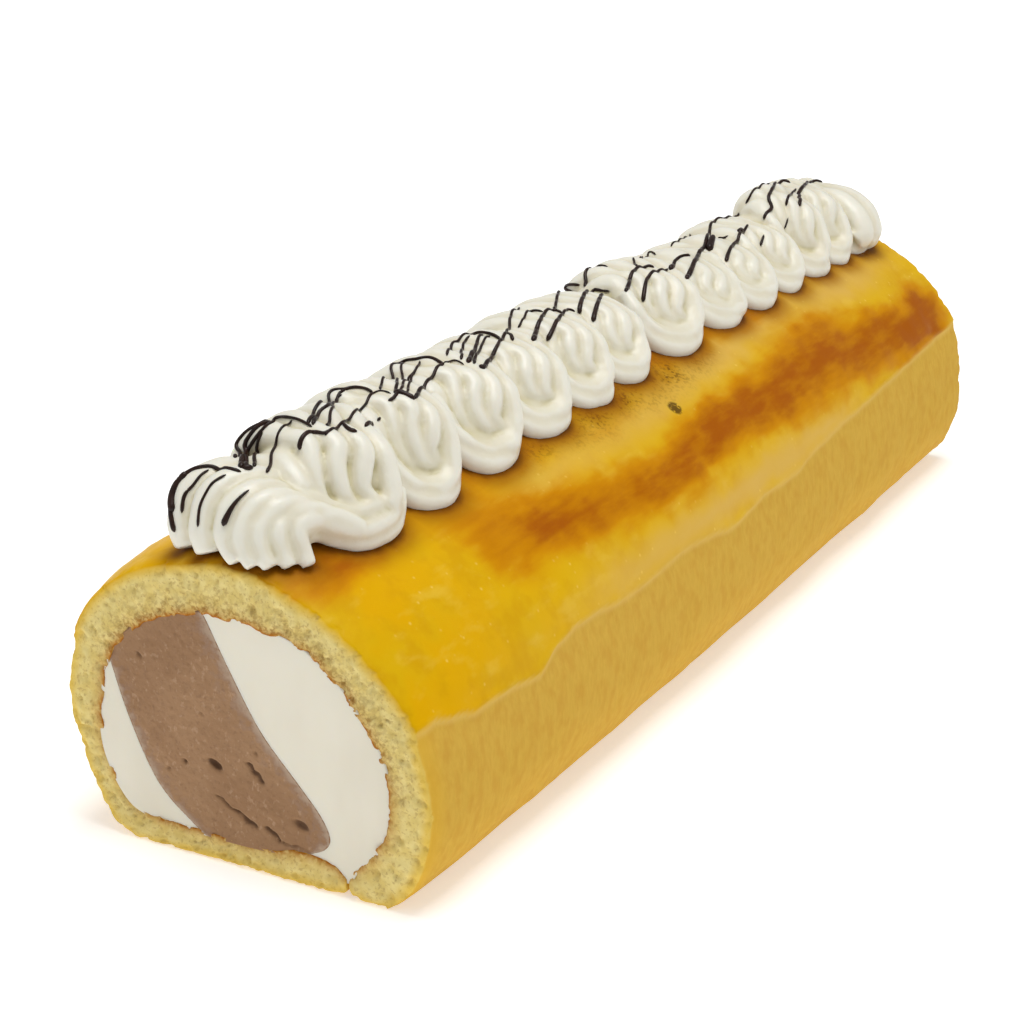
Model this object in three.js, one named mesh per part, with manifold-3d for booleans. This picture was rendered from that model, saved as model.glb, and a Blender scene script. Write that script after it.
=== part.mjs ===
// Swiss roll cake: a sheet of sponge bent into a roll round striped cream, with a strip of ribbed
// cream piped along its top and chocolate drizzled over the strip.
// Millimetres, +Z up. The roll lies along Y on its flat underside, its cut front face towards -Y, and
// the origin is under its middle, on the surface that it rests on.

import * as THREE from 'three';
import { mergeVertices } from 'three/addons/utils/BufferGeometryUtils.js';
import Module from 'manifold-3d';

const wasm = await Module();
wasm.setup();

// ---- driving dimensions -------------------------------------------------------------------------

const LENGTH = 269.6;        // along the roll
const FRONT = -LENGTH / 2;   // y of the front cut
const HALF_WIDTH = 40;       // of the section at the front cut
const HEIGHT = 61.8;         // of the sponge at the front cut
const GAP = 0.3;             // between two pieces that touch
const LEANING_GAP = 1.2 * GAP;   // the same, measured sideways where they lean
const STATIONS = 7;          // steps along the roll
const CROWDING = 1.6;        // power that makes the steps shorter near the front
const OUTSIDE_POINTS = 38;   // steps round the outside of the section
const INSIDE_POINTS = 34;

// The section swells behind the front cut and falls off gently along the back half.
const SWELL = 0.045;         // growth of the section behind the cut
const SWELL_REACH = 8;       // mm over which it grows
const TAPER = 0.0725;        // loss of section from the middle to the far end
const TAPER_POWER = 1.15;

// ---- the section of the roll, seen from the front: x to the right, y up ---------------------------

const v2 = (x, y) => new THREE.Vector2(x, y);

// Outside of the sponge, from the right edge of the flat underside, up the right side, over the top
// and down the left side to the left edge of the underside.
const OUTSIDE = [
  v2(30.7, 0), v2(35.6, 4.6), v2(39, 12), v2(HALF_WIDTH, 20.5), v2(38.6, 32), v2(34.5, 41.6),
  v2(24.7, 51.4), v2(12.2, 58.4), v2(1, HEIGHT), v2(-12, 60.3), v2(-26.9, 54.4), v2(-36, 44.8),
  v2(-39.4, 34), v2(-HALF_WIDTH, 26.5), v2(-37.6, 14), v2(-32.8, 4.2), v2(-26.7, 0),
];

// Inside of the sponge, from the seam leftwards along the bottom, up the left side, over the top and
// down the right side, back to the seam.
const INSIDE = [
  v2(19.4, 5.8), v2(14.5, 7.0), v2(4.7, 5.6), v2(-10.6, 5.2), v2(-23.2, 6), v2(-28.6, 10),
  v2(-32.4, 19), v2(-32, 29.5), v2(-29, 39), v2(-21, 46.6), v2(-8.3, 50.7), v2(5.9, 50.2),
  v2(16, 46.8), v2(25, 38.4), v2(30.6, 28.5), v2(31.3, 18.6), v2(28.6, 11), v2(24.2, 6.6),
];

// The two ends of the sheet meet in a seam in the underside, with a slit between their lips. Each lip
// from the underside up: distance from the middle of the slit, and height.
const SEAM_X = 22.2;
const RIGHT_LIP = [[1.85, 0], [0.75, 0.4], [0.25, 1.3], [0.45, 3.9]];
const LEFT_LIP = [[-2.45, 0], [-0.95, 0.4], [-0.25, 1.3], [-0.45, 3.7]];

// The brown stripe leans across the filling: its left and right edges, from above the filling down.
const STRIPE_LEFT = [
  v2(-33, 43.5), v2(-30.3, 36.9), v2(-26.3, 25.5), v2(-20.2, 13.3), v2(-13, 6.8), v2(-6, 2.5),
];
const STRIPE_RIGHT = [
  v2(-12, 57), v2(-7.7, 50.2), v2(-2.8, 41), v2(3.9, 30), v2(11.8, 21), v2(16.6, 15.4),
  v2(18.5, 11.3), v2(17.2, 8.6), v2(13.5, 6.5), v2(9, 2.5),
];
const LEFT_EDGE_POINTS = 9;
const RIGHT_EDGE_POINTS = 16;
const BEYOND = 60;           // farther out than any place of the section

const smooth = (points, count) =>
  new THREE.SplineCurve(points).getPoints(count);

// Moves a closed outline inwards by a distance; the outline runs clockwise.
function inset(points, distance) {
  return points.map((point, i) => {
    const before = points[(i + points.length - 1) % points.length];
    const after = points[(i + 1) % points.length];
    const along = after.clone().sub(before).normalize();
    return v2(point.x + along.y * distance, point.y - along.x * distance);
  });
}

// ---- the roll's shape along its length ------------------------------------------------------------

// Size of the section, against the front cut, at a distance behind the cut.
function sectionScale(distance) {
  const swell = SWELL * (1 - Math.exp(-distance / SWELL_REACH));
  const backHalf = Math.max(0, distance / LENGTH - 0.5) * 2;
  return 1 + swell - TAPER * backHalf ** TAPER_POWER;
}

// A closed outline carried along the whole roll. reach makes it longer at both ends.
function loft(outline, reach = 0) {
  const geometry = new THREE.ExtrudeGeometry(new THREE.Shape(outline), {
    depth: 1, steps: STATIONS, bevelEnabled: false,
  });
  geometry.rotateX(Math.PI / 2);
  const position = geometry.attributes.position;
  for (let i = 0; i < position.count; i++) {
    const share = Math.min(1, Math.max(0, 1 + position.getY(i)));
    const distance = LENGTH * share ** CROWDING;
    const scale = sectionScale(distance);
    const beyond = share === 0 ? -reach : share === 1 ? reach : 0;
    position.setXYZ(i, position.getX(i) * scale, FRONT + distance + beyond, position.getZ(i) * scale);
  }
  return geometry;
}

// ---- solids that are joined and cut ---------------------------------------------------------------

function toSolid(geometry) {
  const bare = geometry.clone();
  bare.deleteAttribute('normal');
  bare.deleteAttribute('uv');
  const merged = mergeVertices(bare, 1e-4);
  return new wasm.Manifold(new wasm.Mesh({
    numProp: 3,
    vertProperties: new Float32Array(merged.attributes.position.array),
    triVerts: new Uint32Array(merged.index.array),
  }));
}

function toGeometry(solid) {
  const mesh = solid.getMesh();
  const geometry = new THREE.BufferGeometry();
  geometry.setAttribute('position', new THREE.BufferAttribute(mesh.vertProperties, 3));
  geometry.setIndex(new THREE.BufferAttribute(mesh.triVerts, 1));
  geometry.computeVertexNormals();
  return geometry;
}

// ---- sponge and filling -----------------------------------------------------------------------------

function spongeOutline() {
  const lip = (points) => points.map(([away, height]) => v2(SEAM_X + away, height));
  const [rightFoot, ...rightUp] = lip(RIGHT_LIP);
  return [
    rightFoot, ...smooth(OUTSIDE, OUTSIDE_POINTS),
    ...lip(LEFT_LIP), ...smooth(INSIDE, INSIDE_POINTS), ...rightUp.toReversed(),
  ];
}

function filling() {
  const core = toSolid(loft(inset(smooth(INSIDE, INSIDE_POINTS), GAP)));
  const left = smooth(STRIPE_LEFT, LEFT_EDGE_POINTS);
  const right = smooth(STRIPE_RIGHT, RIGHT_EDGE_POINTS);
  const sideways = (points, shift) => points.map((point) => v2(point.x + shift, point.y));
  const part = (outline) => toGeometry(core.intersect(toSolid(loft(outline, 1))));
  return {
    brown: part([...left, ...right.toReversed()]),
    far: part([...sideways(left, -LEANING_GAP), v2(-BEYOND, 0), v2(-BEYOND, BEYOND)]),
    near: part([...sideways(right, LEANING_GAP), v2(BEYOND, 0), v2(BEYOND, BEYOND)].toReversed()),
  };
}

// ---- piped cream --------------------------------------------------------------------------------------
// A star nozzle lays one frill after another. Each is a fan of four ribs that comes over the crest from
// the left and falls to the right into a round lobe, whose rim turns forwards under the frill before.
// A place on the strip is given by x, by the distance behind the front cut and by the height above the
// sponge.

// Each frill: distance of its middle behind the front cut, height against the drawn one, how much
// further back its left end lies, and its reach to the left.
const FRILLS = [
  { middle: 35.5, crest: 1.09, lag: 5.5, left: 0.9 }, { middle: 56, crest: 0.97, lag: 1, left: 1 },
  { middle: 80.5, crest: 0.82, lag: 1.5, left: 1 }, { middle: 101, crest: 0.7, lag: 0, left: 1 },
  { middle: 120, crest: 0.67, lag: 1, left: 1 }, { middle: 137.5, crest: 0.58, lag: 0, left: 1 },
  { middle: 164, crest: 0.67, lag: 3, left: 0.82 }, { middle: 186.5, crest: 0.38, lag: 2.5, left: 0.92 },
  { middle: 204.5, crest: 0.35, lag: 1, left: 0.95 }, { middle: 220.5, crest: 0.48, lag: 1, left: 0.85 },
  { middle: 236, crest: 0.88, lag: 4, left: 0.45 }, { middle: 249.5, crest: 0.8, lag: 2, left: 0.55 },
  { middle: 261, crest: 0.6, lag: 2, left: 0.6 },
];
const PITCH = 20;            // usual distance between frills; closer ones are squeezed
const FIRST_PITCH = 21;      // from the front stroke to the first frill
const STIFFNESS = 0.4;       // share of a frill's length that squeezing leaves alone
const THINNEST = 0.72;       // radius of a rib squeezed flat, against the drawn one
const LOOSEST = 1.15;        // squeeze above which ribs grow no thicker
const LAST_REACH = 263;      // past it the strip is pressed together at the far end
const PRESSED = 0.45;        // to this share of its length
const FOOT = 1.5;            // height below which nothing follows the crest
const RIM_SHARE = 0.6;       // share of the crest's change that the lobe's rim follows
const LAG_FROM = 3;          // mm left of the middle where the lag is half felt
const LAG_WIDTH = 12;
const RIB_SIDES = 5;

// The ribs of a fan, from first to last. Each waypoint: x, distance behind the frill's middle, height
// and radius, at the left foot, shoulder, crest, knuckle, fall and lower end.
const FAN = [
  [[-15.8, -9.6, 3.5, 2.6], [-15, -9.8, 10.6, 2.9], [-7.5, -8.8, 12.9, 2.9], [0.4, -5.6, 12.7, 2.4],
    [4.6, -8.6, 7.8, 2.2], [8.4, -7, 3.6, 2]],
  [[-16.4, -4.8, 3.5, 2.6], [-14.6, -5, 11, 2.9], [-5.4, -4.4, 13.2, 2.8], [4.4, -2.8, 12.5, 2.4],
    [7.4, -6.2, 7.8, 2.2], [10.4, -4, 4.2, 2]],
  [[-15, 0.2, 3.5, 2.6], [-12.8, 0, 10.6, 2.9], [-3, 0.4, 12.8, 2.7], [7.2, -0.4, 12, 2.4],
    [9.8, -3.8, 7.2, 2.2], [12.2, -1.4, 4.2, 2]],
  [[-12.2, 4.8, 3.5, 2.5], [-9.8, 4.8, 9.4, 2.8], [0, 4.5, 11.6, 2.6], [8.8, 2.4, 10.8, 2.4],
    [12.8, -0.4, 6.6, 2.3]],
];
// The rim carries the last rib on round the lobe and up beside the frill before.
const RIM = [
  [13.5, -4.4, 2.8, 2.6], [12.8, -8.6, 1.8, 2.8], [10.4, -12.4, 2.2, 2.8], [7, -13.8, 5, 2.6],
  [3.8, -13.2, 8.6, 2.2],
];
// The first fan leans forwards, and its rim comes out of the front stroke instead.
const FIRST_EARLIER = [7, 5.5, 4, 2.5];
const FIRST_RIM = [
  [13.6, -5.6, 2.9, 2.7], [13.5, -10.6, 2.4, 2.8], [11.8, -15.4, 2.8, 2.8], [8.8, -20, 4.4, 2.9],
  [7.2, -25.6, 4.8, 2.8],
];

const risen = (route, crest) => route.map(([x, behind, height, radius]) =>
  [x, behind, height > FOOT ? FOOT + (height - FOOT) * crest : height, radius]);

// Routes of one frill's ribs, about its middle.
function fan(crest, isFirst) {
  const rim = risen(isFirst ? FIRST_RIM : RIM, 1 - RIM_SHARE + RIM_SHARE * crest);
  return FAN.map((rib, k) => {
    const earlier = isFirst ? FIRST_EARLIER[k] : 0;
    const route = risen(rib, crest).map(([x, behind, height, radius]) => [x, behind - earlier, height, radius]);
    return k === FAN.length - 1 ? [...route, ...rim] : route;
  });
}

// The first stroke, at the front: ribs that rise from a tip at the cake's edge and lean over backwards.
// Each rib: x, distance, height of its top and its width against the usual.
const FRONT_RIBS = [
  [-14.2, 5, 10.6, 1.5], [-8.4, 2.9, 10.4, 1.35], [-3.2, 1.8, 9.8, 0.98], [0.2, 1.9, 9.3, 0.85],
  [2.9, 3.2, 8.6, 0.8], [5.4, 5.8, 7.6, 0.8], [7.7, 8.8, 6.4, 0.82],
];
const BROAD_SPREAD = 1.3;    // sideways, of the broad ribs on the left
const BROAD_TIP = 0.3;       // how far their tips point to the right, against the others'

function frontStroke() {
  return FRONT_RIBS.map(([x, distance, top, width]) => {
    const spread = width > 1 ? BROAD_SPREAD : 1;
    const tip = width > 1 ? BROAD_TIP * spread : 1;
    const curve = [
      [3 * tip, -0.5, 0.7, 1.3], [0.8 * tip, 0.3, 3.4, 2], [0, 1, top - 2.8, 2.4],
      [0.6 * spread, 4.2, top - 0.2, 2.5], [2.9 * spread, 9, top - 0.6, 2.5],
      [5.4 * spread, 12.4, top - 2.4, 2.4],
    ];
    return curve.map(([across, behind, height, radius]) =>
      [x + across, distance + behind, height, radius * width]);
  });
}

// The end of the strip: a thick swirl at the far right, where the nozzle was lifted off.
const TAIL = [
  [[-13, 261, 3, 3], [-11.5, 262, 5.5, 3.2], [-5, 262.5, 6.6, 3.4], [2, 262.5, 7, 3.5], [8.5, 261.8, 8, 3.8],
    [13, 260.5, 7.8, 3.7], [15.2, 259, 5, 3.4], [13.5, 257, 3, 3]],
  [[-4, 260.5, 4.5, 3.6], [3, 260.5, 5.4, 3.8], [10, 259.4, 6, 3.8], [14.4, 257.5, 4.2, 3.5], [13.4, 255, 2.4, 3]],
];

function frillRoutes({ middle, crest, lag, left }, k) {
  const before = k === 0 ? middle - FIRST_PITCH : FRILLS[k - 1].middle;
  const squeeze = (middle - before) / PITCH;
  const thickness = THINNEST + (1 - THINNEST) * Math.min(squeeze, LOOSEST);
  return fan(crest, k === 0).map((route) => route.map(([x, behind, height, radius]) => {
    const lagged = lag * THREE.MathUtils.smoothstep(-x, LAG_FROM - LAG_WIDTH / 2, LAG_FROM + LAG_WIDTH / 2);
    const place = middle + behind * (STIFFNESS + (1 - STIFFNESS) * squeeze) + lagged;
    const distance = place > LAST_REACH ? LAST_REACH + (place - LAST_REACH) * PRESSED : place;
    return [x < 0 ? x * left : x, distance, height, radius * thickness];
  }));
}

const stripRoutes = () => [...frontStroke(), ...FRILLS.flatMap(frillRoutes), ...TAIL];

// A value between the knots of a table.
function ramp(value, xs, ys) {
  const k = Math.max(1, xs.findIndex((x, i) => x >= value || i === xs.length - 1));
  const share = Math.min(1, Math.max(0, (value - xs[k - 1]) / (xs[k] - xs[k - 1])));
  return ys[k - 1] + share * (ys[k] - ys[k - 1]);
}

const CROWN_FROM = 46;       // height above which the outside of the section carries the strip
const CROWN = smooth(OUTSIDE, OUTSIDE_POINTS).filter((point) => point.y > CROWN_FROM).toReversed();
const CROWN_X = CROWN.map((point) => point.x);
const CROWN_Y = CROWN.map((point) => point.y);

// Height of the sponge under a place on the strip.
function spongeTop(x, distance) {
  const scale = sectionScale(distance);
  return ramp(x / scale, CROWN_X, CROWN_Y) * scale;
}

// A rib's centre line, through its route of [x, distance, height above the sponge, radius].
function centreLine(route) {
  return new THREE.CatmullRomCurve3(route.map(([x, distance, height]) =>
    new THREE.Vector3(x, FRONT + distance, spongeTop(x, distance) + height)), false, 'catmullrom');
}

// Radius of a rib at a share of its length.
function radiusAt(route, curve, share) {
  const t = curve.getUtoTmapping(share) * (route.length - 1);
  const k = Math.min(route.length - 2, Math.floor(t));
  return route[k][3] + (t - k) * (route[k + 1][3] - route[k][3]);
}

// Faces of a tube whose rings of points come one after another, the middles of its ends last.
function tubeFaces(places, rings, sides) {
  const index = [];
  const startMiddle = places.length - 2;
  const endMiddle = places.length - 1;
  for (let side = 0; side < sides; side++) {
    const next = (side + 1) % sides;
    for (let ring = 0; ring < rings; ring++) {
      const a = ring * sides + side;
      const b = ring * sides + next;
      index.push(a, b, b + sides, a, b + sides, a + sides);
    }
    index.push(startMiddle, next, side, endMiddle, rings * sides + side, rings * sides + next);
  }
  const geometry = new THREE.BufferGeometry().setFromPoints(places);
  geometry.setIndex(index);
  return geometry;
}

// A round rib along its route, with a ring of points for each waypoint.
function ribGeometry(route, sides) {
  const curve = centreLine(route);
  const rings = route.length - 1;
  const { normals, binormals } = curve.computeFrenetFrames(rings, false);
  const places = [];
  for (let ring = 0; ring <= rings; ring++) {
    const centre = curve.getPointAt(ring / rings);
    const radius = radiusAt(route, curve, ring / rings);
    for (let side = 0; side < sides; side++) {
      const angle = side / sides * 2 * Math.PI;
      places.push(centre.clone()
        .addScaledVector(normals[ring], radius * Math.cos(angle))
        .addScaledVector(binormals[ring], radius * Math.sin(angle)));
    }
  }
  places.push(curve.getPointAt(0), curve.getPointAt(1));
  return tubeFaces(places, rings, sides);
}

// The heart of the strip, an oval bar that the ribs lie on. Its height follows the frills'.
const HEART = { x: -2.2, halfWidth: 14, halfHeight: 11.5, from: 9, to: 262, ground: 0.8, sides: 8 };
const HEART_AT = [HEART.from, ...FRILLS.map(({ middle }) => middle), HEART.to];
const HEART_CREST = [0.7, ...FRILLS.map(({ crest }) => crest), 0.5];   // of its height there

function heartGeometry() {
  const places = HEART_AT.flatMap((distance, k) =>
    Array.from({ length: HEART.sides }, (_, side) => {
      const angle = -side / HEART.sides * 2 * Math.PI;
      const across = HEART.halfWidth * Math.cos(angle);
      const ground = spongeTop(HEART.x + HEART.ground * across, distance);
      const height = HEART.halfHeight * HEART_CREST[k] * Math.sin(angle);
      return new THREE.Vector3(HEART.x + across, FRONT + distance, ground + 1 + height);
    }));
  const middle = (distance) => new THREE.Vector3(HEART.x, FRONT + distance, spongeTop(HEART.x, distance));
  places.push(middle(HEART.from), middle(HEART.to));
  return tubeFaces(places, HEART_AT.length - 1, HEART.sides);
}

// ---- chocolate drizzle ----------------------------------------------------------------------------------
// The thick strands: two for each frill, over its crest from the left side to the right shoulder.

const STRAND_RADIUS = 0.8;
const STRAND_SINK = 0.2;     // share of its radius that a strand is sunk into the cream
const STRAND_SIDES = 3;
const STRAND_POINTS = 4;
const STRAND_SLANT = 2.4;    // how far its right end lies behind its left end
const STRANDS = [            // of a frill: distance from its crest, left end, right end and its swing
  { offset: -3, left: -16, right: -1.5, swing: -4 }, { offset: 2, left: -14.5, right: -5.5, swing: 4 },
];
const FRONT_CREST = 9;       // distance of the front stroke's crest
const CREST_BEFORE = 2;      // how far a frill's crest lies in front of its middle
const BARE_END = 25;         // of the strip, at the far end, without chocolate
const RIB_SAMPLES = 40;

function ribSamples(routes) {
  return routes.flatMap((route) => {
    const curve = centreLine(route);
    return Array.from({ length: RIB_SAMPLES + 1 }, (_, i) => {
      const share = i / RIB_SAMPLES;
      return { centre: curve.getPointAt(share), radius: radiusAt(route, curve, share) };
    });
  });
}

// Height of the top of the cream at a place, from points along all its ribs; -Infinity beside them.
function creamTop(samples, x, y) {
  const tops = samples.map(({ centre, radius }) => {
    const away = Math.hypot(x - centre.x, y - centre.y);
    return away < radius ? centre.z + Math.sqrt(radius ** 2 - away ** 2) : -Infinity;
  });
  return Math.max(...tops);
}

function strandRoute(samples, distance, left, right) {
  const shares = Array.from({ length: STRAND_POINTS }, (_, i) => i / (STRAND_POINTS - 1));
  return shares.map((share) => {
    const x = left + (right - left) * share;
    const place = distance + STRAND_SLANT * (share - 0.5);
    const height = creamTop(samples, x, FRONT + place) - spongeTop(x, place);
    return [x, place, height - STRAND_RADIUS * STRAND_SINK, STRAND_RADIUS];
  }).filter(([, , height]) => height > 0);
}

function drizzleRoutes(routes) {
  const samples = ribSamples(routes);
  const crests = [FRONT_CREST, ...FRILLS.map(({ middle }) => middle - CREST_BEFORE)];
  return crests.filter((crest) => crest < LENGTH - BARE_END).flatMap((crest, k) =>
    STRANDS.map(({ offset, left, right, swing }) =>
      strandRoute(samples, crest + offset, left, right + swing * (k % 2))));
}

// One body of heart, ribs and thick strands, cut off just above the sponge that it lies on. What the
// joining leaves loose or sealed in is dropped.
function pipedCream() {
  const routes = stripRoutes();
  const ribs = routes.map((route) => toSolid(ribGeometry(route, RIB_SIDES)));
  const strands = drizzleRoutes(routes).map((route) => toSolid(ribGeometry(route, STRAND_SIDES)));
  const whole = wasm.Manifold.union([toSolid(heartGeometry()), ...ribs, ...strands]);
  const sponge = loft(smooth(OUTSIDE, OUTSIDE_POINTS), 1);
  sponge.translate(0, 0, LEANING_GAP);
  const pieces = whole.subtract(toSolid(sponge)).decompose();
  pieces.sort((a, b) => b.volume() - a.volume());
  return toGeometry(pieces[0]);
}

// ---- materials and the finished group -------------------------------------------------------------------

const finish = (color, roughness) => new THREE.MeshStandardMaterial({ color, roughness, metalness: 0 });
const SPONGE = finish('#dba72f', 0.5);
const WHITE_CREAM = finish('#ebe4dc', 0.55);
const BROWN_CREAM = finish('#97755f', 0.65);
const PIPED_CREAM = finish('#f1efe2', 0.45);

function named(name, geometry, material) {
  const mesh = new THREE.Mesh(geometry, material);
  mesh.name = name;
  return mesh;
}

const swissRoll = new THREE.Group();
const stripes = filling();
swissRoll.add(
  named('sponge_sheet', loft(spongeOutline()), SPONGE),
  named('white_cream_near', stripes.near, WHITE_CREAM),
  named('brown_cream_band', stripes.brown, BROWN_CREAM),
  named('white_cream_far', stripes.far, WHITE_CREAM),
  named('piped_cream', pipedCream(), PIPED_CREAM),
);

export default swissRoll;
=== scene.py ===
# %% [markdown]
# # A filled roll cake with piped cream, dressed over its solids
#
# The object is a roll cake, 27 cm long: a sheet of sponge bent round a block of striped cream, its
# outside a glossy browned skin, a strip of ribbed cream piped along the top and thin chocolate
# drizzled across the strip. The solids carry its sizes. This file makes the surfaces that are
# seen. Every surface is worked out with numpy as a function of two parameters, because a cake's
# forms are soft and uneven all over, and a formula with noise in it gives that everywhere, at any
# fineness. Lengths below are in millimetres until a mesh is made, unless they say metres.

# %% Load the solids
import itertools

import bmesh
import bpy
import numpy as np
from mathutils import Matrix, Vector
from mathutils.bvhtree import BVHTree


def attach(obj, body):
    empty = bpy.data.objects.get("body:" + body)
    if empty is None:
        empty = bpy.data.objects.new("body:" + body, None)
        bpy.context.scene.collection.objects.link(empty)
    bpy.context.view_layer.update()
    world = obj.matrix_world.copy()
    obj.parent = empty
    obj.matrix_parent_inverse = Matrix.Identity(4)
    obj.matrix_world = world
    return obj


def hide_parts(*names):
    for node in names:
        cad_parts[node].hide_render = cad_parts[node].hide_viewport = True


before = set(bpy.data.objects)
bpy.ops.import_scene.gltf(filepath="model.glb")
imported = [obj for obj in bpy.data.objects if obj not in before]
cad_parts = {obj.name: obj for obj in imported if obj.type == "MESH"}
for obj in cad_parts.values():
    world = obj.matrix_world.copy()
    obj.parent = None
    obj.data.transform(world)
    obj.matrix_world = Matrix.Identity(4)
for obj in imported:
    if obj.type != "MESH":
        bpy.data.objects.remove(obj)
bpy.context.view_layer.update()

# %% [markdown]
# ## The camera
#
# The picture looks down on the cut front end from its right, from about arm's length. A long lens
# gives the gentle convergence of such a view. The camera is placed by its direction (azimuth and
# elevation) and its position, and has no roll and no shift.

# %% Camera
AZIMUTH = np.radians(29.3278)
ELEVATION = np.radians(22.1406)
CAMERA_PLACE = (0.2706, -0.5146, 0.2616)      # metres
SENSOR_WIDTH, FOCAL_LENGTH = 36, 98.2
FRAME = 1024                   # width and height of the picture in pixels

camera_back = np.array([np.sin(AZIMUTH) * np.cos(ELEVATION),
                        -np.cos(AZIMUTH) * np.cos(ELEVATION), np.sin(ELEVATION)])
camera_right = np.array([np.cos(AZIMUTH), np.sin(AZIMUTH), 0])
camera_up = np.cross(camera_back, camera_right)

lens = bpy.data.cameras.new("camera")
lens.sensor_width, lens.lens = SENSOR_WIDTH, FOCAL_LENGTH
lens.clip_start = 0.01
camera = bpy.data.objects.new("camera", lens)
bpy.context.scene.collection.objects.link(camera)
turn_matrix = Matrix(np.column_stack([camera_right, camera_up, camera_back]).tolist())
camera.matrix_world = Matrix.Translation(CAMERA_PLACE) @ turn_matrix.to_4x4()
bpy.context.scene.camera = camera
print("camera looks along", (-camera_back).round(3))

# %% [markdown]
# ## Tools for every surface
#
# Three tools are used all through. A smooth curve passes through a few given points. Noise makes
# the unevenness of hand-made food: random heights at the corners of a lattice, blended smoothly, at
# one or more cell sizes. A mesh is made from whole arrays of points; grids that share an edge give
# the same points there, so welding them closes the surface.

# %% Curves and noise
MM = 0.001


def smooth_curve(points, samples):
    """A uniform Catmull-Rom curve through every point. Between P1 and P2, with neighbours P0 and P3
    and t from 0 to 1, a place is half of 2 P1 + (P2 - P0) t + (2 P0 - 5 P1 + 4 P2 - P3) t^2
    + (3 P1 - P0 - 3 P2 + P3) t^3. The samples are spread evenly over t."""
    points = np.asarray(points, float)
    place = np.linspace(0, len(points) - 1, samples)
    first = np.minimum(place.astype(int), len(points) - 2)
    t = (place - first)[:, None]
    p0, p1, p2, p3 = (points[np.clip(first + k, 0, len(points) - 1)] for k in (-1, 0, 1, 2))
    return 0.5 * (2 * p1 + (p2 - p0) * t + (2 * p0 - 5 * p1 + 4 * p2 - p3) * t ** 2
                  + (3 * p1 - p0 - 3 * p2 + p3) * t ** 3)


def shares_along(points):
    """Share of a polyline's length reached at each of its points, from 0 to 1."""
    steps = np.linalg.norm(np.diff(points, axis=0), axis=1)
    reached = np.concatenate([[0], np.cumsum(steps)])
    return reached / reached[-1]


def at_shares(points, shares):
    """Places at these shares of a polyline's length."""
    own = shares_along(points)
    return np.stack([np.interp(shares, own, column) for column in points.T], -1)


def step_up(value, middle, width):
    """0 below the middle, 1 above it, with a smooth cubic slope of that width."""
    t = np.clip((value - middle) / width + 0.5, 0, 1)
    return t * t * (3 - 2 * t)


def lattice_noise(places, cell, seed):
    """Noise from -1 to 1 at an array of places whose last axis is x, y, z: each corner of a lattice
    of that cell size has a random height, and the eight heights round a place are blended with the
    smooth weight 3t^2 - 2t^3 along each axis."""
    scaled = places / cell
    corner = np.floor(scaled).astype(np.int64)
    part = scaled - corner
    weight = part * part * (3 - 2 * part)
    total = np.zeros(places.shape[:-1])
    for offset in itertools.product((0, 1), repeat=3):
        x, y, z = np.moveaxis(corner + offset, -1, 0)
        mixed = (x * 73856093 ^ y * 19349663 ^ z * 83492791 ^ seed * 2654435761) & 0xFFFFFFFF
        mixed = ((mixed ^ mixed >> 15) * 2246822519) & 0xFFFFFFFF
        mixed = ((mixed ^ mixed >> 13) * 3266489917) & 0xFFFFFFFF
        height = (mixed ^ mixed >> 16) / 2 ** 31 - 1
        total += height * np.prod(np.where(offset, weight, 1 - weight), axis=-1)
    return total


def layered_noise(places, cell, seed, layers=3):
    """Lattice noise with finer layers on it, each of half the cell and just over half the height."""
    return sum(lattice_noise(places, cell / 2 ** k, seed + k) * 0.55 ** k for k in range(layers))


# %% Meshes from arrays
def grid_squares(rows, columns, start=0):
    """Corner numbers of the squares between neighbouring rows and columns of a grid of points."""
    corner = start + np.arange(rows * columns).reshape(rows, columns)
    squares = [corner[:-1, :-1], corner[1:, :-1], corner[1:, 1:], corner[:-1, 1:]]
    return np.stack(squares, -1).reshape(-1, 4)


def placed(name, data):
    """A new object in the scene that shows a mesh or a lamp."""
    thing = bpy.data.objects.new(name, data)
    bpy.context.scene.collection.objects.link(thing)
    return thing


def note(mesh, key, column):
    """Stores a named value at every point of a mesh."""
    mesh.attributes.new(key, 'FLOAT', 'POINT').data.foreach_set('value', column.astype(np.float32))


def at_points(mesh, key):
    """What a mesh holds at its points, such as their places or normals, in rows of three."""
    values = np.empty(len(mesh.vertices) * 3)
    mesh.vertices.foreach_get(key, values)
    return values.reshape(-1, 3)


def places_of(mesh):
    """A mesh's points in millimetres."""
    return at_points(mesh, "co") / MM


def edge_ends(mesh):
    """The numbers of the points at the one end and at the other end of every edge."""
    edges = np.empty(len(mesh.edges) * 2, np.int32)
    mesh.edges.foreach_get("vertices", edges)
    return edges.reshape(-1, 2).T


def make_mesh(name, points, faces, values=None):
    """A mesh of points in millimetres, with named values at its points."""
    mesh = bpy.data.meshes.new(name)
    mesh.from_pydata((points * MM).tolist(), [], faces.tolist())
    for key, column in (values or {}).items():
        note(mesh, key, column)
    return mesh


def weld(mesh, distance=0.02):
    """Merges points closer than a distance in millimetres, turns the closed surface's faces outwards
    and returns the number of edges that are still open."""
    work = bmesh.new()
    work.from_mesh(mesh)
    bmesh.ops.remove_doubles(work, verts=work.verts, dist=distance * MM)
    bmesh.ops.recalc_face_normals(work, faces=work.faces)
    work.to_mesh(mesh)
    open_edges = sum(not edge.is_manifold for edge in work.edges)
    work.free()
    return open_edges


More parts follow.
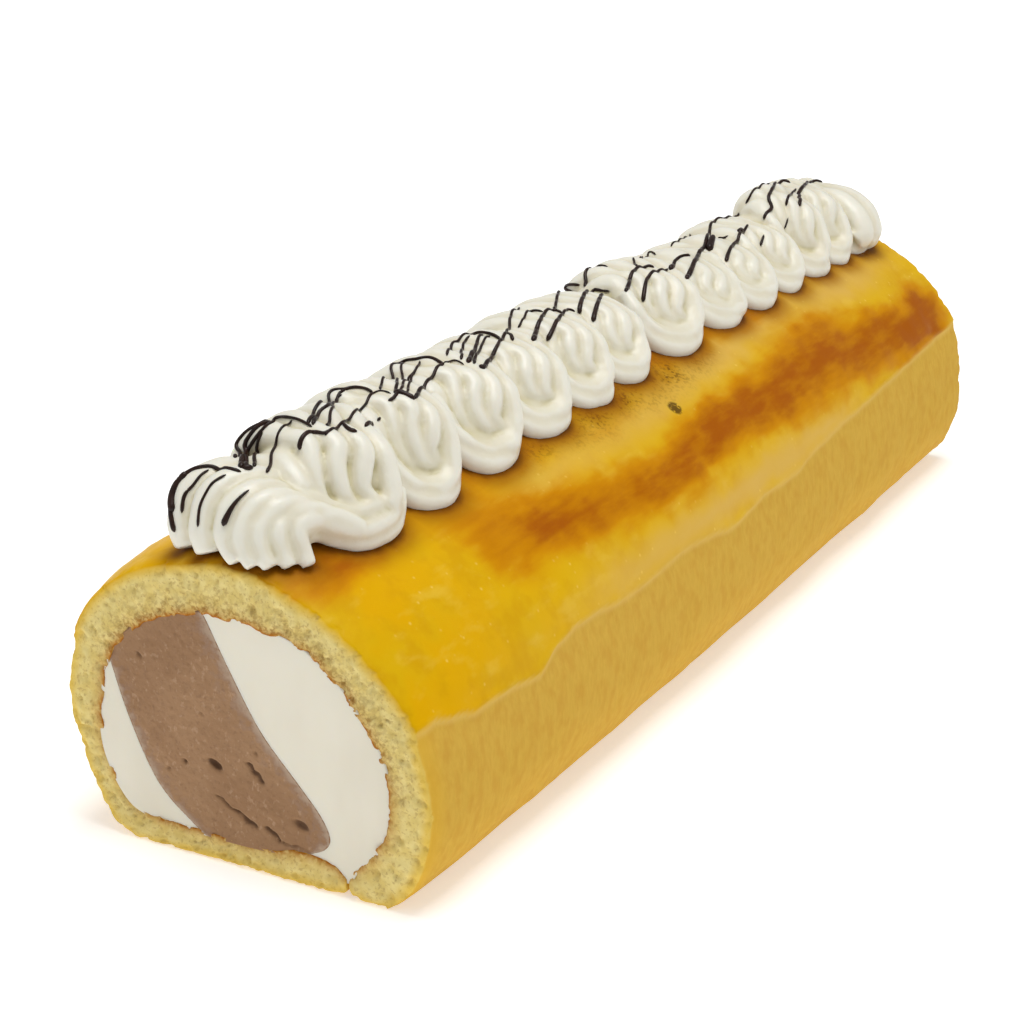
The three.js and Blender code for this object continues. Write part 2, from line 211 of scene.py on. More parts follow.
def add_piece(mesh, node, finish):
    """Puts a mesh in the scene as a piece that stands for a node, rides on the root body and takes
    its finish from a slot."""
    mesh.polygons.foreach_set('use_smooth', np.ones(len(mesh.polygons), bool))
    mesh.materials.append(finish)
    piece = placed(mesh.name, mesh)
    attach(piece, "root")
    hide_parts(node)
    mesh.calc_loop_triangles()
    print(piece.name, "stands for", node, "with", len(mesh.loop_triangles), "triangles")
    return piece


def closed_surface(name, grids):
    """One closed mesh from grids of points that meet along their edges. A grid is its points
    (rows, columns, 3) and a dictionary of named values (rows, columns)."""
    faces, start = [], 0
    for points, _ in grids:
        rows, columns = points.shape[:2]
        faces.append(grid_squares(rows, columns, start))
        start += rows * columns
    all_points = np.concatenate([points.reshape(-1, 3) for points, _ in grids])
    keys = grids[0][1].keys()
    values = {key: np.concatenate([own[key].reshape(-1) for _, own in grids]) for key in keys}
    mesh = make_mesh(name, all_points, np.concatenate(faces), values)
    print(name, "open edges after welding:", weld(mesh))
    return mesh


# %% [markdown]
# ## A tool for finishes
#
# A finish is a node material. A small class keeps the code short: it adds a node with its inputs
# given as numbers or as other nodes' outputs. Colours are written as the eye sees them on a screen,
# from 0 to 255, and turned into the linear values that the renderer counts in.

# %% Finishes
def seen(red, green, blue):
    """A screen colour as linear values: below 0.04 a straight line, above it a power of 2.4."""
    screen = np.array([red, green, blue]) / 255
    linear = np.where(screen <= 0.04045, screen / 12.92, ((screen + 0.055) / 1.055) ** 2.4)
    return (*linear.tolist(), 1.0)


class Finish:
    """A material and the tools to build it up from nodes."""

    def __init__(self, name, roughness, specular, subsurface=0.0, glow_reach=0.0):
        self.material = bpy.data.materials.new(name)
        self.material.use_nodes = True
        self.tree = self.material.node_tree
        self.shader = self.tree.nodes["Principled BSDF"]
        self.set("Roughness", roughness)
        self.set("Specular IOR Level", specular)
        if subsurface:
            self.set("Subsurface Weight", subsurface)
            self.set("Subsurface Scale", glow_reach * MM)
            self.set("Subsurface Radius", (1.0, 0.75, 0.45))
        self.place = self.add("TexCoord").outputs["Object"]

    def set(self, socket, value):
        """Gives a socket of the shader a fixed value, or an output that feeds it."""
        if isinstance(value, bpy.types.NodeSocket):
            self.tree.links.new(value, self.shader.inputs[socket])
        else:
            self.shader.inputs[socket].default_value = value

    def add(self, kind, inputs=None, **settings):
        """A node of a kind, its inputs given as numbers or as outputs that feed them."""
        node = self.tree.nodes.new("ShaderNode" + kind)
        for key, value in settings.items():
            setattr(node, key, value)
        for key, value in (inputs or {}).items():
            if isinstance(value, bpy.types.NodeSocket):
                self.tree.links.new(value, node.inputs[key])
            else:
                node.inputs[key].default_value = value
        return node

    def value(self, name):
        """A named value of the piece's points."""
        return self.add("Attribute", attribute_name=name).outputs["Fac"]

    def noise(self, size, detail=2.0, stretch=(1, 1, 1), roughness=0.55):
        """Noise with grains of about that many millimetres, drawn out by a factor along each axis."""
        squeezed = self.add("Mapping", {"Vector": self.place, "Scale": [1 / s for s in stretch]})
        return self.add("TexNoise", {"Vector": squeezed.outputs[0], "Scale": 1 / (size * MM),
                                     "Detail": detail, "Roughness": roughness}).outputs["Fac"]

    def cells(self, size):
        """Distance from the middle of round cells of about that many millimetres."""
        return self.add("TexVoronoi", {"Vector": self.place, "Scale": 1 / (size * MM)}).outputs["Distance"]

    def slope(self, value, low, high, start=0.0, end=1.0):
        """A value carried from the range low..high to start..end, smoothly and no further."""
        return self.add("MapRange", {"Value": value, "From Min": low, "From Max": high,
                                     "To Min": start, "To Max": end},
                        interpolation_type='SMOOTHSTEP').outputs["Result"]

    def count(self, operation, first, second):
        """Two numbers, or outputs that are numbers, put together by an operation."""
        return self.add("Math", {0: first, 1: second}, operation=operation).outputs[0]

    def blend(self, share, first, second):
        """Two colours, or outputs that are colours, mixed by a share."""
        return self.add("Mix", {0: share, 6: first, 7: second}, data_type='RGBA').outputs[2]

    def over(self, under, colour, value, low, high, start=0.0, end=1.0):
        """A screen colour laid over what is under it, by the share that a value comes to when it is
        carried from the range low..high to start..end."""
        return self.blend(self.slope(value, low, high, start, end), under, seen(*colour))

    def relief(self, height, distance):
        """Fine relief, with that many millimetres from its lowest to its highest."""
        bump = self.add("Bump", {"Height": height, "Distance": distance * MM, "Strength": 1.0})
        self.set("Normal", bump.outputs[0])


# %% [markdown]
# ## The section of the roll
#
# Cut across, the roll is a wide arch on a flat underside. The sponge sheet runs once round, from a
# seam in the underside up the right side, over the top and down the left side back to the seam. The
# section swells just behind the cut, where the knife pressed it in, and grows slightly smaller over
# its back half. The same named points that the solids have are used here.

# %% The section
LENGTH = 269.6                 # along the roll
FRONT = -LENGTH / 2            # y of the front cut
SWELL, SWELL_REACH, TAPER = 0.045, 8, 0.0725
TAPER_CURVE = 1.15             # the taper grows with this power of the way
OUTSIDE = [(22.5, 2.2), (22.8, 1.0), (23.8, 0.15), (26.4, 0), (30.7, 0), (35.6, 4.6), (39, 12), (40, 20.5),
           (38.6, 32), (34.5, 41.6), (24.7, 51.4), (12.2, 58.4), (1, 61.8), (-12, 60.3),
           (-26.9, 54.4), (-36, 44.8), (-39.4, 34), (-40, 26.5), (-37.6, 14), (-32.8, 4.2),
           (-26.7, 0), (-16, 0), (-5, 0), (6, 0), (14, 0), (19.2, 0.1), (21.3, 0.7), (21.95, 2.0)]
INSIDE = [(22.6, 3.9), (24.2, 6.6), (28.6, 11), (31.3, 18.6), (30.6, 28.5), (25, 38.4), (16, 46.8),
          (5.9, 50.2), (-8.3, 50.7), (-21, 46.6), (-29, 39), (-32, 29.5), (-32.4, 19), (-28.6, 10),
          (-23.2, 6), (-10.6, 5.2), (4.7, 5.6), (14.5, 7.0), (19.4, 5.8), (21.9, 3.7)]
MIDDLE = np.array([0, 28.0])   # from here the whole section is seen round about
CROWN_FROM = 45                # lowest height of the sponge's top
OUTLINE_SAMPLES = 3000

outside = smooth_curve(OUTSIDE, OUTLINE_SAMPLES)
inside = smooth_curve(INSIDE, OUTLINE_SAMPLES)


def section_scale(distance):
    """Size of the section at a distance behind the front cut: 1 + swell (1 - e^(-d / reach)) minus
    the taper times the share of the back half that is passed, to a power."""
    swell = SWELL * (1 - np.exp(-distance / SWELL_REACH))
    back_half = np.maximum(0, distance / LENGTH - 0.5) * 2
    return 1 + swell - TAPER * back_half ** TAPER_CURVE


def turn_of(points):
    """Angle of places in the section about its middle, in radians, growing from the seam."""
    return np.unwrap(np.arctan2(points[..., 1] - MIDDLE[1], points[..., 0] - MIDDLE[0]))


# Each share of the way round the outside is paired with the share round the inside that lies at the
# same angle. Near the seam both start and end together.
pair_outside = np.concatenate([[0], np.linspace(0.06, 0.94, 60), [1]])
angles = np.interp(pair_outside[1:-1], shares_along(outside), turn_of(outside))
pair_inside = np.concatenate([[0], np.interp(angles, turn_of(inside), shares_along(inside)), [1]])

# The top of the sponge, as a height for every x.
crown = outside[outside[:, 1] > CROWN_FROM][::-1]


def sponge_top(x, distance):
    """Height of the sponge's top at x: the outside of the section, scaled as at that distance."""
    scale = section_scale(distance)
    return np.interp(x / scale, crown[:, 0], crown[:, 1]) * scale


perimeter = np.linalg.norm(np.diff(outside, axis=0), axis=1).sum()
print("perimeter", round(float(perimeter), 1), "mm, crown", crown[0].round(1), "to", crown[-1].round(1))

# %% [markdown]
# ## The sponge sheet
#
# The sponge is one sheet with four kinds of surface: the glossy baked skin over the top, the matte
# side below the line where the skin ends, the open crumb of the two cuts, and the inside against
# the cream. A place in the sheet is given by three numbers: the share of the way round, the depth
# from outside (0) to inside (1), and the distance behind the front cut. One function turns them
# into a place with all its unevenness, so that the six grids that cover the sheet meet exactly.
# Modelling it by hand would be possible, but the pores of the crumb and the ragged edge of the cut
# are far easier as noise that pushes the points.

# %% Where the skin ends
# Distance behind the front cut, and height there.
SKIN_EDGE_RIGHT = [(0, 37.2), (6, 38.2), (12, 37), (17, 35), (30, 35), (41, 33.5), (47, 36), (56, 37),
                   (66, 36.5), (80, 35.2), (104, 35.6), (115, 34.5), (127, 33.1), (140, 33.8), (149, 34.2),
                   (162, 33.5), (174, 35), (194, 35.5), (215, 36.4), (238, 36.5), (258, 37.1), (270, 37.5)]
SKIN_EDGE_LEFT_LIFT = 1.5      # the left side's edge runs a little higher


def along_noise(distance, cell, seed):
    """Noise that changes along the roll alone."""
    lane = np.zeros_like(distance) + seed * 7.3
    return lattice_noise(np.stack([distance, lane, lane], -1), cell, seed)


def skin_edge(distance, on_left):
    """Height at which the glossy skin ends and the matte side begins."""
    known = np.array(SKIN_EDGE_RIGHT).T
    wave = 0.55 * along_noise(distance, 9, 3) + 0.25 * along_noise(distance, 3.5, 4)
    mirrored = np.interp(LENGTH - distance, *known) + SKIN_EDGE_LEFT_LIFT
    return np.where(on_left, mirrored, np.interp(distance, *known)) + wave


# %% Browning
# The oven browned the right shoulder in a long band. Where it bends: distance behind the front cut,
# angle of its middle above the horizontal in degrees, its reach to either side, and its strength.
BAND = [(30, 46, 15, 0), (45, 46, 15, 0.48), (68, 41, 12.5, 0.78), (92, 35, 10.5, 0.68),
        (116, 31.5, 9.5, 0.78), (146, 37, 9, 0.88), (170, 33, 13, 0.88), (198, 34, 17, 0.79),
        (212, 28, 13, 0.82), (226, 28, 12, 0.86), (246, 23, 10.5, 1.04), (258, 25, 12, 1.03),
        (270, 25, 12, 0.25)]
# Soft spots on the skin: distance and angle of their middles, reach along and round, and strength.
# The strong ones at about 70 degrees beside the cream are painted shade; the browned ones lie mostly
# past 90 degrees, on the left shoulder, and one spot with a negative strength takes browning away.
BROWN_AND_SHADE_SPOTS = [(14, 70, 20, 11, 0.75), (54, 60, 16, 8, 0.25), (78, 73, 16, 10, 0.8), (110, 56, 16, 5, 0.22),
           (148, 26, 18, 6, 0.18), (154, 72, 20, 10, 0.8), (190, 70, 16, 10, 0.85), (203, 13, 6, 5, -0.35),
           (210, 46, 10, 8, 0.36), (40, 148, 26, 12, 0.3), (90, 140, 26, 11, 0.6), (150, 146, 34, 10, 0.6),
           (205, 140, 24, 13, 0.7), (252, 150, 16, 15, 0.8)]
# Paler spots, in the same form: partly paler skin, and partly painted sheen, which is the row at 53 to 60
# degrees along the right shoulder.
PALE_AND_SHEEN_SPOTS = [(232, 54, 26, 8, 0.9), (190, 60, 22, 7, 0.7), (160, 56, 20, 7, 0.7), (125, 53, 22, 6, 0.6),
        (85, 54, 22, 7, 0.5), (80, 15, 22, 6, 0.5), (115, 15, 24, 6, 0.7), (150, 14, 24, 6, 0.75),
        (185, 13, 18, 5, 0.7), (205, 128, 40, 9, 0.6), (100, 126, 40, 8, 0.5)]
SCORCHED = [(131, 65, 17, 8, 1.0), (108, 66, 18, 8, 1.0), (150, 60, 10, 6, 0.55), (84, 66, 14, 6, 0.4)]
GLAZED_REACH = 55              # how far behind the front the skin's yellow is at its warmest


def patches(distance, degrees, spots):
    """Sum of soft round spots: each is its strength times e^-(a^2 + b^2), with a and b the distance
    from its middle along and round, in shares of its reach."""
    total = np.zeros(np.broadcast(distance, degrees).shape)
    for middle, angle, along, around, strength in spots:
        off = ((distance - middle) / along) ** 2 + ((degrees - angle) / around) ** 2
        total += strength * np.exp(-off)
    return total


def band(distance, degrees):
    """Strength of the browned band: its own at that distance times e^-(b^2), with b the angle from
    its middle in shares of its reach. Between two bends all three run straight."""
    bends, *settings = np.array(BAND).T
    middle, reach, strength = (np.interp(distance, bends, column) for column in settings)
    return strength * np.exp(-((degrees - middle) / reach) ** 2)


# %% A place in the sponge sheet
CUT_RELIEF = 0.32              # height of the crumb's unevenness on a cut
CUT_REACH = 1.3                # how far behind a cut its unevenness is felt
RAG_REACH = 1.6                # how far behind a cut its outline is ragged
SKIN_LOWEST = 15               # no skin lies lower
NORMAL_STEP = 0.004            # share of the way round to the neighbours that give the normal


def on_line(curve, shares):
    """The two coordinates of places at shares of a line's length."""
    own = shares_along(curve)
    return np.interp(shares, own, curve[:, 0]), np.interp(shares, own, curve[:, 1])


def sheet_grid(around, depth, distance):
    """Points and named values for arrays of the three numbers of the sheet, which broadcast.
    The section's outside and inside are joined by a straight line and the share `depth` of it is
    taken; the section is scaled for its distance. Then the skin is pushed along the outside's
    normal, the edges of the cut are made ragged within the section, and the cut is pushed in and
    out along the roll."""
    around, depth, distance = np.broadcast_arrays(around, depth, distance)
    outer_x, outer_z = on_line(outside, around)
    inner_x, inner_z = on_line(inside, np.interp(around, pair_outside, pair_inside))
    beside_x, beside_z = on_line(outside, np.minimum(around + NORMAL_STEP, 1))
    before_x, before_z = on_line(outside, np.maximum(around - NORMAL_STEP, 0))
    normal_x, normal_z = beside_z - before_z, before_x - beside_x
    size = np.hypot(normal_x, normal_z)
    normal_x, normal_z = normal_x / size, normal_z / size
    scale = section_scale(distance)
    thickness = np.hypot(outer_x - inner_x, outer_z - inner_z) * scale
    skin_x, skin_z = outer_x * scale, outer_z * scale
    rest = np.stack([skin_x, distance, skin_z], -1)

    # the skin and its edge
    on_left = outer_x < 0
    edge = skin_edge(distance, on_left)
    above = skin_z - edge
    skin = step_up(above, 0, 0.7) * (skin_z > SKIN_LOWEST)
    degrees = np.degrees(np.arctan2(skin_z - MIDDLE[1], skin_x))
    degrees = np.where(degrees < -90, degrees + 360, degrees)
    flat = step_up(-skin_z, -2.5, 4)                       # 1 on the underside, which lies flat
    swelling = 0.5 * layered_noise(rest, 24, 11) + 0.13 * layered_noise(rest, 5, 17)
    swelling = swelling + 0.3 * skin + 0.3 * np.exp(-((above - 0.3) / 0.9) ** 2) - 0.15
    swelling = swelling * (1 - flat)

    # ragged edges of the cut, within the section
    near_cut = np.exp(-distance / RAG_REACH) + np.exp(-(LENGTH - distance) / RAG_REACH)
    outer_rag = (0.22 * layered_noise(rest + 40, 2.6, 23) - 0.05) * near_cut * (1 - 0.75 * skin)
    inner_rag = 0.42 * layered_noise(np.stack([inner_x, distance, inner_z], -1), 2.3, 29) * near_cut
    outward = (swelling + outer_rag) * (1 - depth) + inner_rag * depth
    x = (outer_x + (inner_x - outer_x) * depth) * scale + normal_x * outward
    z = np.maximum((outer_z + (inner_z - outer_z) * depth) * scale + normal_z * outward, 0)

    # the cut itself: soft hollows, small pores and a slightly rounded outer edge
    face = np.stack([x, distance * 0 + np.where(distance < LENGTH / 2, 0, 300), z], -1)
    depth_mm = depth * thickness
    pores = np.maximum(0, layered_noise(face, 1.5, 37) - 0.25)
    crumb = CUT_RELIEF * (layered_noise(face, 3.2, 31) + 0.5 * lattice_noise(face, 1.1, 33)) - 0.9 * pores
    crumb = crumb - 0.45 * np.exp(-depth_mm / 0.55) - 0.25 * np.exp(-(thickness - depth_mm) / 0.5)
    push = crumb * (np.exp(-(distance / CUT_REACH) ** 2) - np.exp(-((LENGTH - distance) / CUT_REACH) ** 2))
    points = np.stack([x, FRONT + distance - push, z], -1)

    cut = np.exp(-distance / 0.25) + np.exp(-(LENGTH - distance) / 0.25)
    over_top = step_up(degrees, -5, 50) * step_up(-degrees, -165, 40)
    warp = layered_noise(rest, 13, 41)
    fine = layered_noise(rest, 4.5, 43)
    warped_place = (distance + 4 * warp, degrees + 2.2 * fine)
    # brown: browning from the band and the spots, plus painted shade from the spots beside the cream
    brown = (band(*warped_place) + patches(*warped_place, BROWN_AND_SHADE_SPOTS)) * (1 + 0.15 * warp)
    scorched = patches(distance, degrees + 3 * warp, SCORCHED) * (0.75 + 0.6 * fine)
    values = {
        "skin": skin * np.exp(-depth_mm / 0.5),
        "brown": np.clip(brown, 0, 1.3),
        "scorched": np.clip(scorched, 0, 1),
        "pale": np.clip(patches(distance, degrees + 2 * fine, PALE_AND_SHEEN_SPOTS), 0, 1),
        "glazed": np.exp(-(distance / GLAZED_REACH) ** 2),
        "cut": np.clip(cut, 0, 1),
        "depth": depth_mm,
        "rim": np.exp(-(thickness - depth_mm) / 1.15),
        "pored": np.exp(-(thickness - depth_mm) / 2.6) * over_top,
        "height": above,
    }
    return points, values


# %% The sponge sheet
ROUND_STEPS, ALONG_STEPS, DEEP_STEPS = 400, 140, 18
CUT_ROWS = 6                   # rows next to a cut that the hidden surfaces keep
HIDDEN_EVERY = 7               # further in they keep only every so many
round_shares = np.linspace(0, 1, ROUND_STEPS)
spread = np.linspace(-1, 1, ALONG_STEPS)
distances = LENGTH * (0.5 + 0.5 * (0.45 * spread + 0.55 * np.sin(spread * np.pi / 2)))
distances = np.sort(np.concatenate([distances, [0.5, 1.0, LENGTH - 0.5, LENGTH - 1.0]]))
deep_shares = np.linspace(0, 1, DEEP_STEPS)
row = np.arange(len(distances))
from_cut = np.minimum(row, row[::-1])
few_distances = distances[(from_cut < CUT_ROWS) | ((row - CUT_ROWS) % HIDDEN_EVERY == 0)]
nearest_few = few_distances[np.abs(distances[:, None] - few_distances).argmin(1)]
outside_distances = np.tile(distances, (ROUND_STEPS, 1))
outside_distances[[0, -1]] = nearest_few

sheet_grids = [sheet_grid(round_shares[:, None], 0.0, outside_distances),
               sheet_grid(round_shares[:, None], deep_shares[None, :], 0.0),
               sheet_grid(round_shares[:, None], deep_shares[None, :], LENGTH)]
print("sheet grids:", [points.shape for points, _ in sheet_grids])

# %% [markdown]
# The inside of the sheet and the two lips of the seam are hidden but for their front edges, so they
# take fewer rows along the roll. Where a coarse grid meets a fine one the edge points must still be
# the same: the outside's two edges at the seam are snapped to the few rows, and welding closes them.

# %% Close the sheet
inside_grid = sheet_grid(round_shares[:, None], 1.0, few_distances[None, :])
lips = [sheet_grid(share, deep_shares[:, None], few_distances[None, :]) for share in (0.0, 1.0)]
sheet_mesh = closed_surface("sponge_sheet_baked", sheet_grids + [inside_grid] + lips)

# %% [markdown]
# ## The finish of the sponge
#
# Skin, side and crumb are one material, because they pass into each other. The values stored at the
# points say where each is. The skin is a saturated golden yellow with a satin gloss, and its pale
# spots are partly paler skin and partly painted sheen. The oven browned it through orange to caramel
# where it rose highest, and a scorched olive tint with dark freckles lies beside the cream, with
# painted shade where the cream meets the skin. The side is a duller tan with fine upright fibres, as
# baking paper leaves it, and a painted rim light makes it yellower near the front cut. The crumb is
# pale with small shaded pores, and a thin caramel line marks the inner edge.

# %% Sponge finish
BURNT = [((23.7, -3.5, 55.3), 1.5), ((15.8, 0.2, 59.7), 1.3)]      # places of two burnt crumbs and their size
sponge = Finish("baked_sponge", 0.6, 0.04, subsurface=0.06, glow_reach=1.2)
grain = sponge.noise(1.1, 3)
mottle = sponge.noise(7, 3)
cloud = sponge.noise(26, 2)

# the golden skin
gold = sponge.blend(sponge.slope(cloud, 0.35, 0.65), seen(222, 176, 14), seen(216, 170, 26))
warm = sponge.blend(sponge.slope(sponge.noise(14, 2), 0.35, 0.65), seen(222, 168, 2), seen(216, 172, 12))
gold = sponge.blend(sponge.value("glazed"), gold, warm)
gold = sponge.over(gold, (206, 150, 4), mottle, 0.45, 0.7, 0, 0.5)
gold = sponge.over(gold, (228, 190, 66), sponge.noise(5, 4, stretch=(1, 2.2, 1)), 0.52, 0.72, 0, 0.5)
# pale: paler skin, and painted sheen along the right shoulder
gold = sponge.blend(sponge.value("pale"), gold, seen(218, 176, 84))
gold = sponge.over(gold, (240, 206, 96), sponge.cells(3.1), 0.0, 0.17, 0.6, 0)
streaks = sponge.slope(sponge.noise(2.6, 4, stretch=(1, 4, 1)), 0.25, 0.75, 0.8, 1.15)
# browning, plus painted shade where the spots beside the cream lie
browned = sponge.count('MULTIPLY', sponge.value("brown"), streaks)
toast_and_shade = sponge.over(gold, (204, 136, 2), browned, 0.08, 0.5)
toast_and_shade = sponge.over(toast_and_shade, (166, 88, 4), browned, 0.35, 0.95)
freckles = sponge.slope(sponge.noise(0.9, 3), 0.48, 0.62)
scorch = sponge.value("scorched")
olive = sponge.blend(sponge.count('MULTIPLY', scorch, 0.7), toast_and_shade, seen(160, 112, 16))
freckled = sponge.count('MULTIPLY', sponge.count('MULTIPLY', scorch, freckles), 0.85)
olive = sponge.blend(freckled, olive, seen(84, 54, 14))

# two specks of burnt crumb, and painted contact shade on the skin beside the cream
for burnt, reach in BURNT:
    to_burnt = {0: sponge.place, 1: Vector(burnt) * MM}
    away = sponge.add("VectorMath", to_burnt, operation='DISTANCE').outputs["Value"]
    uneven_edge = sponge.slope(freckles, 0, 1, -0.3, 0.3)
    crumbly = sponge.count('ADD', sponge.count('DIVIDE', away, reach * MM), uneven_edge)
    olive = sponge.over(olive, (66, 40, 14), crumbly, 0.6, 1.2, 0.85, 0)
# painted contact shade: the skin darkens to a deep brown towards the cream's foot
cream_contact_shade = sponge.value("painted_contact_shade")
olive = sponge.over(olive, (150, 92, 4), cream_contact_shade, 0.05, 0.9, 0, 0.85)
olive = sponge.over(olive, (104, 54, 4), cream_contact_shade, 0.7, 1, 0, 0.8)

# the matte side
fibres = sponge.noise(0.7, 3, stretch=(1, 1, 3.5))
side = sponge.blend(sponge.slope(fibres, 0.25, 0.75), seen(215, 174, 74), seen(208, 166, 68))
side = sponge.over(side, (203, 154, 60), sponge.noise(2.4, 3, stretch=(1, 1, 1.8)), 0.4, 0.7, 0, 0.6)
# painted rim light: the side is yellower within 7 mm of the front cut
along = sponge.add("SeparateXYZ", {0: sponge.place}).outputs["Y"]
side = sponge.over(side, (222, 176, 58), along, FRONT * MM, (FRONT + 7) * MM, 0.6, 0)
side = sponge.over(side, (232, 196, 110), sponge.value("height"), -1.7, 0.1, 0, 0.6)
outer = sponge.blend(sponge.value("skin"), side, olive)

# the crumb of the cuts
pale = sponge.blend(sponge.slope(sponge.noise(2.4, 3), 0.35, 0.65), seen(232, 213, 142), seen(222, 199, 122))
pale = sponge.over(pale, (184, 154, 92), sponge.noise(0.7, 3), 0.52, 0.68, 0, 0.6)
pores = sponge.slope(sponge.noise(0.8, 3), 0.44, 0.6, 0.05, 1)
pale = sponge.blend(sponge.count('MULTIPLY', sponge.value("pored"), pores), pale, seen(130, 92, 40))
broken = sponge.slope(sponge.noise(1.0, 3), 0.3, 0.55, 0.5, 1)
pale = sponge.blend(sponge.count('MULTIPLY', sponge.value("rim"), broken), pale, seen(170, 102, 30))
pale = sponge.over(pale, (228, 188, 62), sponge.value("depth"), 0.2, 2.8, 0.65, 0)
pale = sponge.blend(sponge.value("skin"), pale, olive)
sponge.set("Base Color", sponge.blend(sponge.value("cut"), outer, pale))

gloss = sponge.slope(sponge.value("skin"), 0, 1, 0.9, 0.4)
sponge.set("Roughness", sponge.count('ADD', gloss, sponge.slope(mottle, 0.3, 0.7, -0.04, 0.06)))
bumps = sponge.count('ADD', sponge.count('MULTIPLY', fibres, 0.7), sponge.count('MULTIPLY', grain, 0.3))
dull = sponge.slope(sponge.value("skin"), 0, 1, 0.75, 0.3)
sponge.relief(sponge.count('MULTIPLY', bumps, dull), 0.17)
add_piece(sheet_mesh, "sponge_sheet", sponge.material)

# %% [markdown]
# ## The filling
#
# The block of cream is striped: a band of brown cream leans between two white parts. Each part is
# a prism along the roll. Its cut faces are Coons patches, grids stretched between four edge curves,
# so that neighbours share the very same edge points and no gap shows between the stripes. The
# filling reaches a little under the sponge's ragged edge, as the sponge closes round it.

# %% Edges of the filling
STRIPE_LEFT = [(-33, 43.5), (-30.3, 36.9), (-26.3, 25.5), (-20.2, 13.3), (-13, 6.8), (-6, 2.5)]
STRIPE_RIGHT = [(-12, 57), (-7.7, 50.2), (-2.8, 41), (3.9, 30), (11.8, 21), (16.6, 15.4), (18.5, 11.3),
                (17.2, 8.6), (13.5, 6.5), (9, 2.5)]
UNDER_SPONGE = 0.7             # how far the filling reaches under the sponge's edge
LOOP_SAMPLES, EDGE_SAMPLES = 2400, 1500
loop = smooth_curve(INSIDE + [INSIDE[0]], LOOP_SAMPLES)
tangent = np.roll(loop, -2, 0) - np.roll(loop, 2, 0)
outwards = np.stack([tangent[:, 1], -tangent[:, 0]], -1) / np.linalg.norm(tangent, axis=1)[:, None]
loop = loop + outwards * UNDER_SPONGE


def within(points, outline):
    """Whether points lie inside a closed outline: a ray to the right crosses it an odd number of
    times."""
    x, z = points[:, None, 0], points[:, None, 1]
    start, end = outline, np.roll(outline, -1, 0)
    crosses = (start[:, 1] > z) != (end[:, 1] > z)
    rise = np.where(start[:, 1] == end[:, 1], 1, end[:, 1] - start[:, 1])
    at = start[:, 0] + (z - start[:, 1]) / rise * (end[:, 0] - start[:, 0])
    return (crosses & (x < at)).sum(1) % 2 == 1


def stripe_edge(points, steps):
    """The part of a stripe's edge that lies within the filling, top first, and where on the
    filling's outline its two ends are."""
    line = smooth_curve(points, EDGE_SAMPLES)
    line = line[within(line, loop)]
    ends = [int(np.argmin(np.linalg.norm(loop - line[k], axis=1))) for k in (0, -1)]
    line[0], line[-1] = loop[ends[0]], loop[ends[1]]
    return at_shares(line, np.linspace(0, 1, steps)), ends


def outline_part(start, end, steps, backwards=False):
    """The filling's outline between two of its points, in its own sense or backwards."""
    order = np.roll(loop, -start, 0)[:(end - start) % len(loop) + 1]
    if backwards:
        order = np.roll(loop[::-1], -(len(loop) - 1 - start), 0)[:(start - end) % len(loop) + 1]
    return at_shares(order, np.linspace(0, 1, steps))


DOWN_STEPS = 120
left_edge, left_ends = stripe_edge(STRIPE_LEFT, DOWN_STEPS)
right_edge, right_ends = stripe_edge(STRIPE_RIGHT, DOWN_STEPS)
print("stripe ends:", left_edge[[0, -1]].round(1).tolist(), right_edge[[0, -1]].round(1).tolist())


def coons(left, right, top, bottom):
    """A grid between four edge curves: the left and right ones blended across, plus the top and
    bottom ones blended down, less the flat blend of the four corners."""
    s = np.linspace(0, 1, len(top))[:, None, None]
    t = np.linspace(0, 1, len(left))[None, :, None]
    across = (1 - s) * left[None] + s * right[None]
    down = (1 - t) * top[:, None] + t * bottom[:, None]
    corners = (1 - s) * ((1 - t) * top[0] + t * bottom[0]) + s * ((1 - t) * top[-1] + t * bottom[-1])
    return across + down - corners


# %% Holes and cracks of the brown cream
# Air holes: x, z, half width, half height, lean in degrees, depth.
HOLES = [(-23.4, 39.3, 0.9, 0.45, 35, 0.5), (-6.8, 20.4, 1.55, 0.8, 25, 1.3),
         (-13.7, 19.3, 0.55, 0.45, 0, 0.8), (-17.6, 16.8, 0.5, 0.4, 0, 0.5), (12.1, 12.3, 1.7, 0.8, 20, 0.8),
         (-9.5, 30.5, 0.35, 0.3, 0, 0.4), (2.5, 25, 0.4, 0.35, 0, 0.4), (-16, 30, 0.3, 0.3, 0, 0.35),
         (-12, 40, 0.35, 0.3, 0, 0.3)]
# Cracks: x, z of the one end and of the other, half width, depth.
CRACKS = [(0.7, 22.5, 3.7, 19.2, 0.32, 0.8), (-6.5, 14, -2.2, 11.4, 0.25, 0.7),
          (-2.2, 11.4, 2, 9.4, 0.3, 0.9), (4.2, 9.7, 6.9, 7.6, 0.35, 0.9), (8, 7.8, 13.5, 7.2, 0.3, 0.6),
          (3, 13.8, 8.4, 14.6, 0.2, 0.3)]


